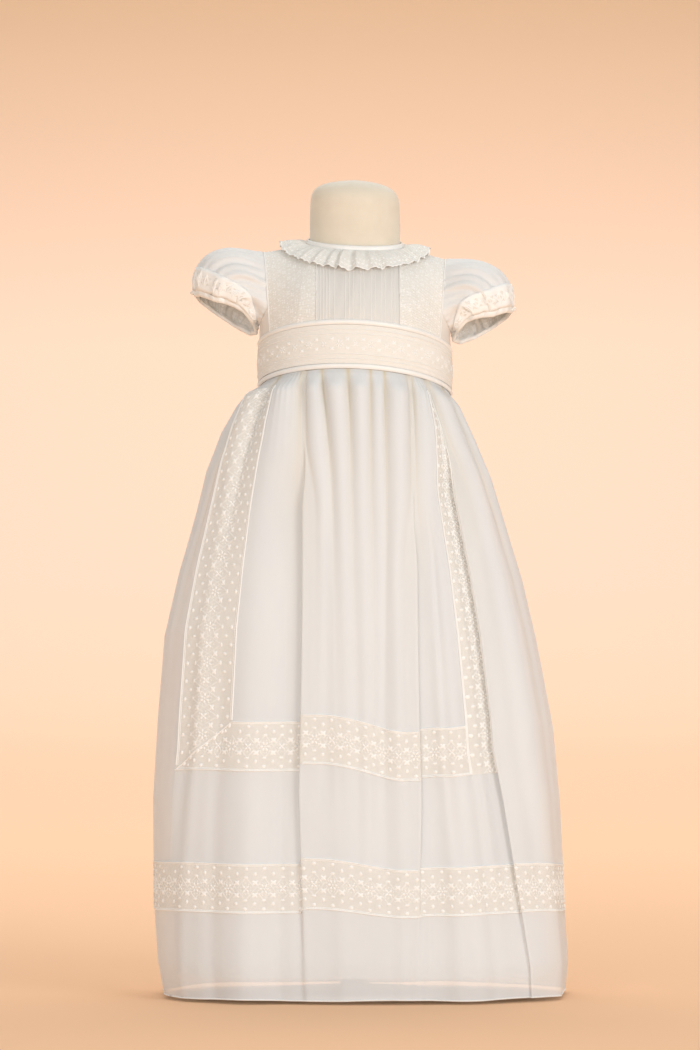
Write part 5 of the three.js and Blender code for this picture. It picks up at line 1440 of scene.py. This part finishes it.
def make_stage():
    """A pale floor that rises softly into a wall far behind, so that no view is shut off.

    Its colour changes slowly with the distance and the height: painted shade, deeper orange on the near
    floor and darker high on the wall.
    """
    material, tree, shader = nodes_of("backdrop_paper", {"Roughness": 0.95, "Specular IOR Level": 0.05})
    split = tree.nodes.new("ShaderNodeSeparateXYZ")
    link(tree, tree.nodes.new("ShaderNodeTexCoord").outputs["Object"], split.inputs[0])
    away = math_node(tree, "MULTIPLY_ADD", split.outputs[1], 0.02, 0.012)
    climb = math_node(tree, "MULTIPLY_ADD", split.outputs[2], 0.45, away)
    # The ramp paints shade into the backdrop: deeper orange near the front, darker high on the wall.
    link(tree, ramp(tree, climb, BACKDROP_SHADED_COLOURS), shader.inputs["Base Color"])
    profile = [(-FLOOR_FRONT, 0), (WALL_BEND, 0)]
    for turn in np.linspace(0, math.pi / 2, 24)[1:]:
        profile.append((WALL_BEND + BEND_RADIUS * math.sin(turn), BEND_RADIUS * (1 - math.cos(turn))))
    profile.append((WALL_BEND + BEND_RADIUS, WALL_HEIGHT))
    points = np.array([(x, y, z) for y, z in profile for x in (-FLOOR_HALF, 0, FLOOR_HALF)], float)
    new_object("backdrop", points, grid_faces(len(profile), 3)[:, ::-1], material)


def add_light(name, place, aim, size, power, colour):
    data = bpy.data.lights.new(name, "AREA")
    data.shape = "RECTANGLE"
    data.size, data.size_y = size
    data.energy = power
    data.color = colour
    light = bpy.data.objects.new(name, data)
    light.location = place
    light.rotation_euler = (Vector(aim) - Vector(place)).to_track_quat("-Z", "Y").to_euler()
    bpy.context.scene.collection.objects.link(light)


def make_lights():
    world = bpy.data.worlds.new("studio")
    world.use_nodes = True
    background = world.node_tree.nodes["Background"]
    background.inputs[0].default_value = (1.0, 0.985, 0.965, 1)
    background.inputs[1].default_value = 0.53
    bpy.context.scene.world = world
    bpy.context.scene.view_settings.view_transform = "Standard"
    middle = (0, 0, 0.4)
    add_light("key", (2.6, -3.4, 1.2), middle, (1.8, 2.0), 64, (0.925, 0.975, 1.0))
    add_light("front", (-0.8, -4.4, 0.85), middle, (2.2, 1.4), 50, (0.915, 0.975, 1.0))
    add_light("floor_wash", (0, 2.5, 3.6), (0, 3.5, 0), (5.0, 3.0), 100, (1.0, 0.97, 0.93))
    add_light("wall_wash", (0, 6.6, 4.2), (0, 8.4, 0.9), (5.0, 0.8), 130, (1.0, 0.97, 0.93))


def make_camera():
    data = bpy.data.cameras.new("camera")
    data.sensor_fit = "VERTICAL"
    data.sensor_height = SENSOR
    data.lens = SENSOR * CAMERA_DISTANCE / (IMAGE_HEIGHT * MM_PER_PIXEL)
    camera = bpy.data.objects.new("camera", data)
    camera.location = (CAMERA_X * MM, -CAMERA_DISTANCE * MM, CAMERA_Z * MM)
    camera.rotation_euler = (math.pi / 2, 0, 0)
    bpy.context.scene.collection.objects.link(camera)
    bpy.context.scene.camera = camera


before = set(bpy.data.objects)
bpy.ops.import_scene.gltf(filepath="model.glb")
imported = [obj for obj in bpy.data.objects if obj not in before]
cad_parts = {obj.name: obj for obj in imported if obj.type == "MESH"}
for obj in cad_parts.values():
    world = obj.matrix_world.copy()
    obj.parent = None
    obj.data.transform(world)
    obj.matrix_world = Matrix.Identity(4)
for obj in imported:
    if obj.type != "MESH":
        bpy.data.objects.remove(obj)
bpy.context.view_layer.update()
make_camera()
make_stage()
make_lights()
make_form()
make_stand()
make_bodice()
make_bodice_sides()
make_closing()
make_neck()
make_sleeves()
make_bow(1)
make_bow(-1)
make_sash()
make_lining()
make_skirt()
make_skirt_lace()
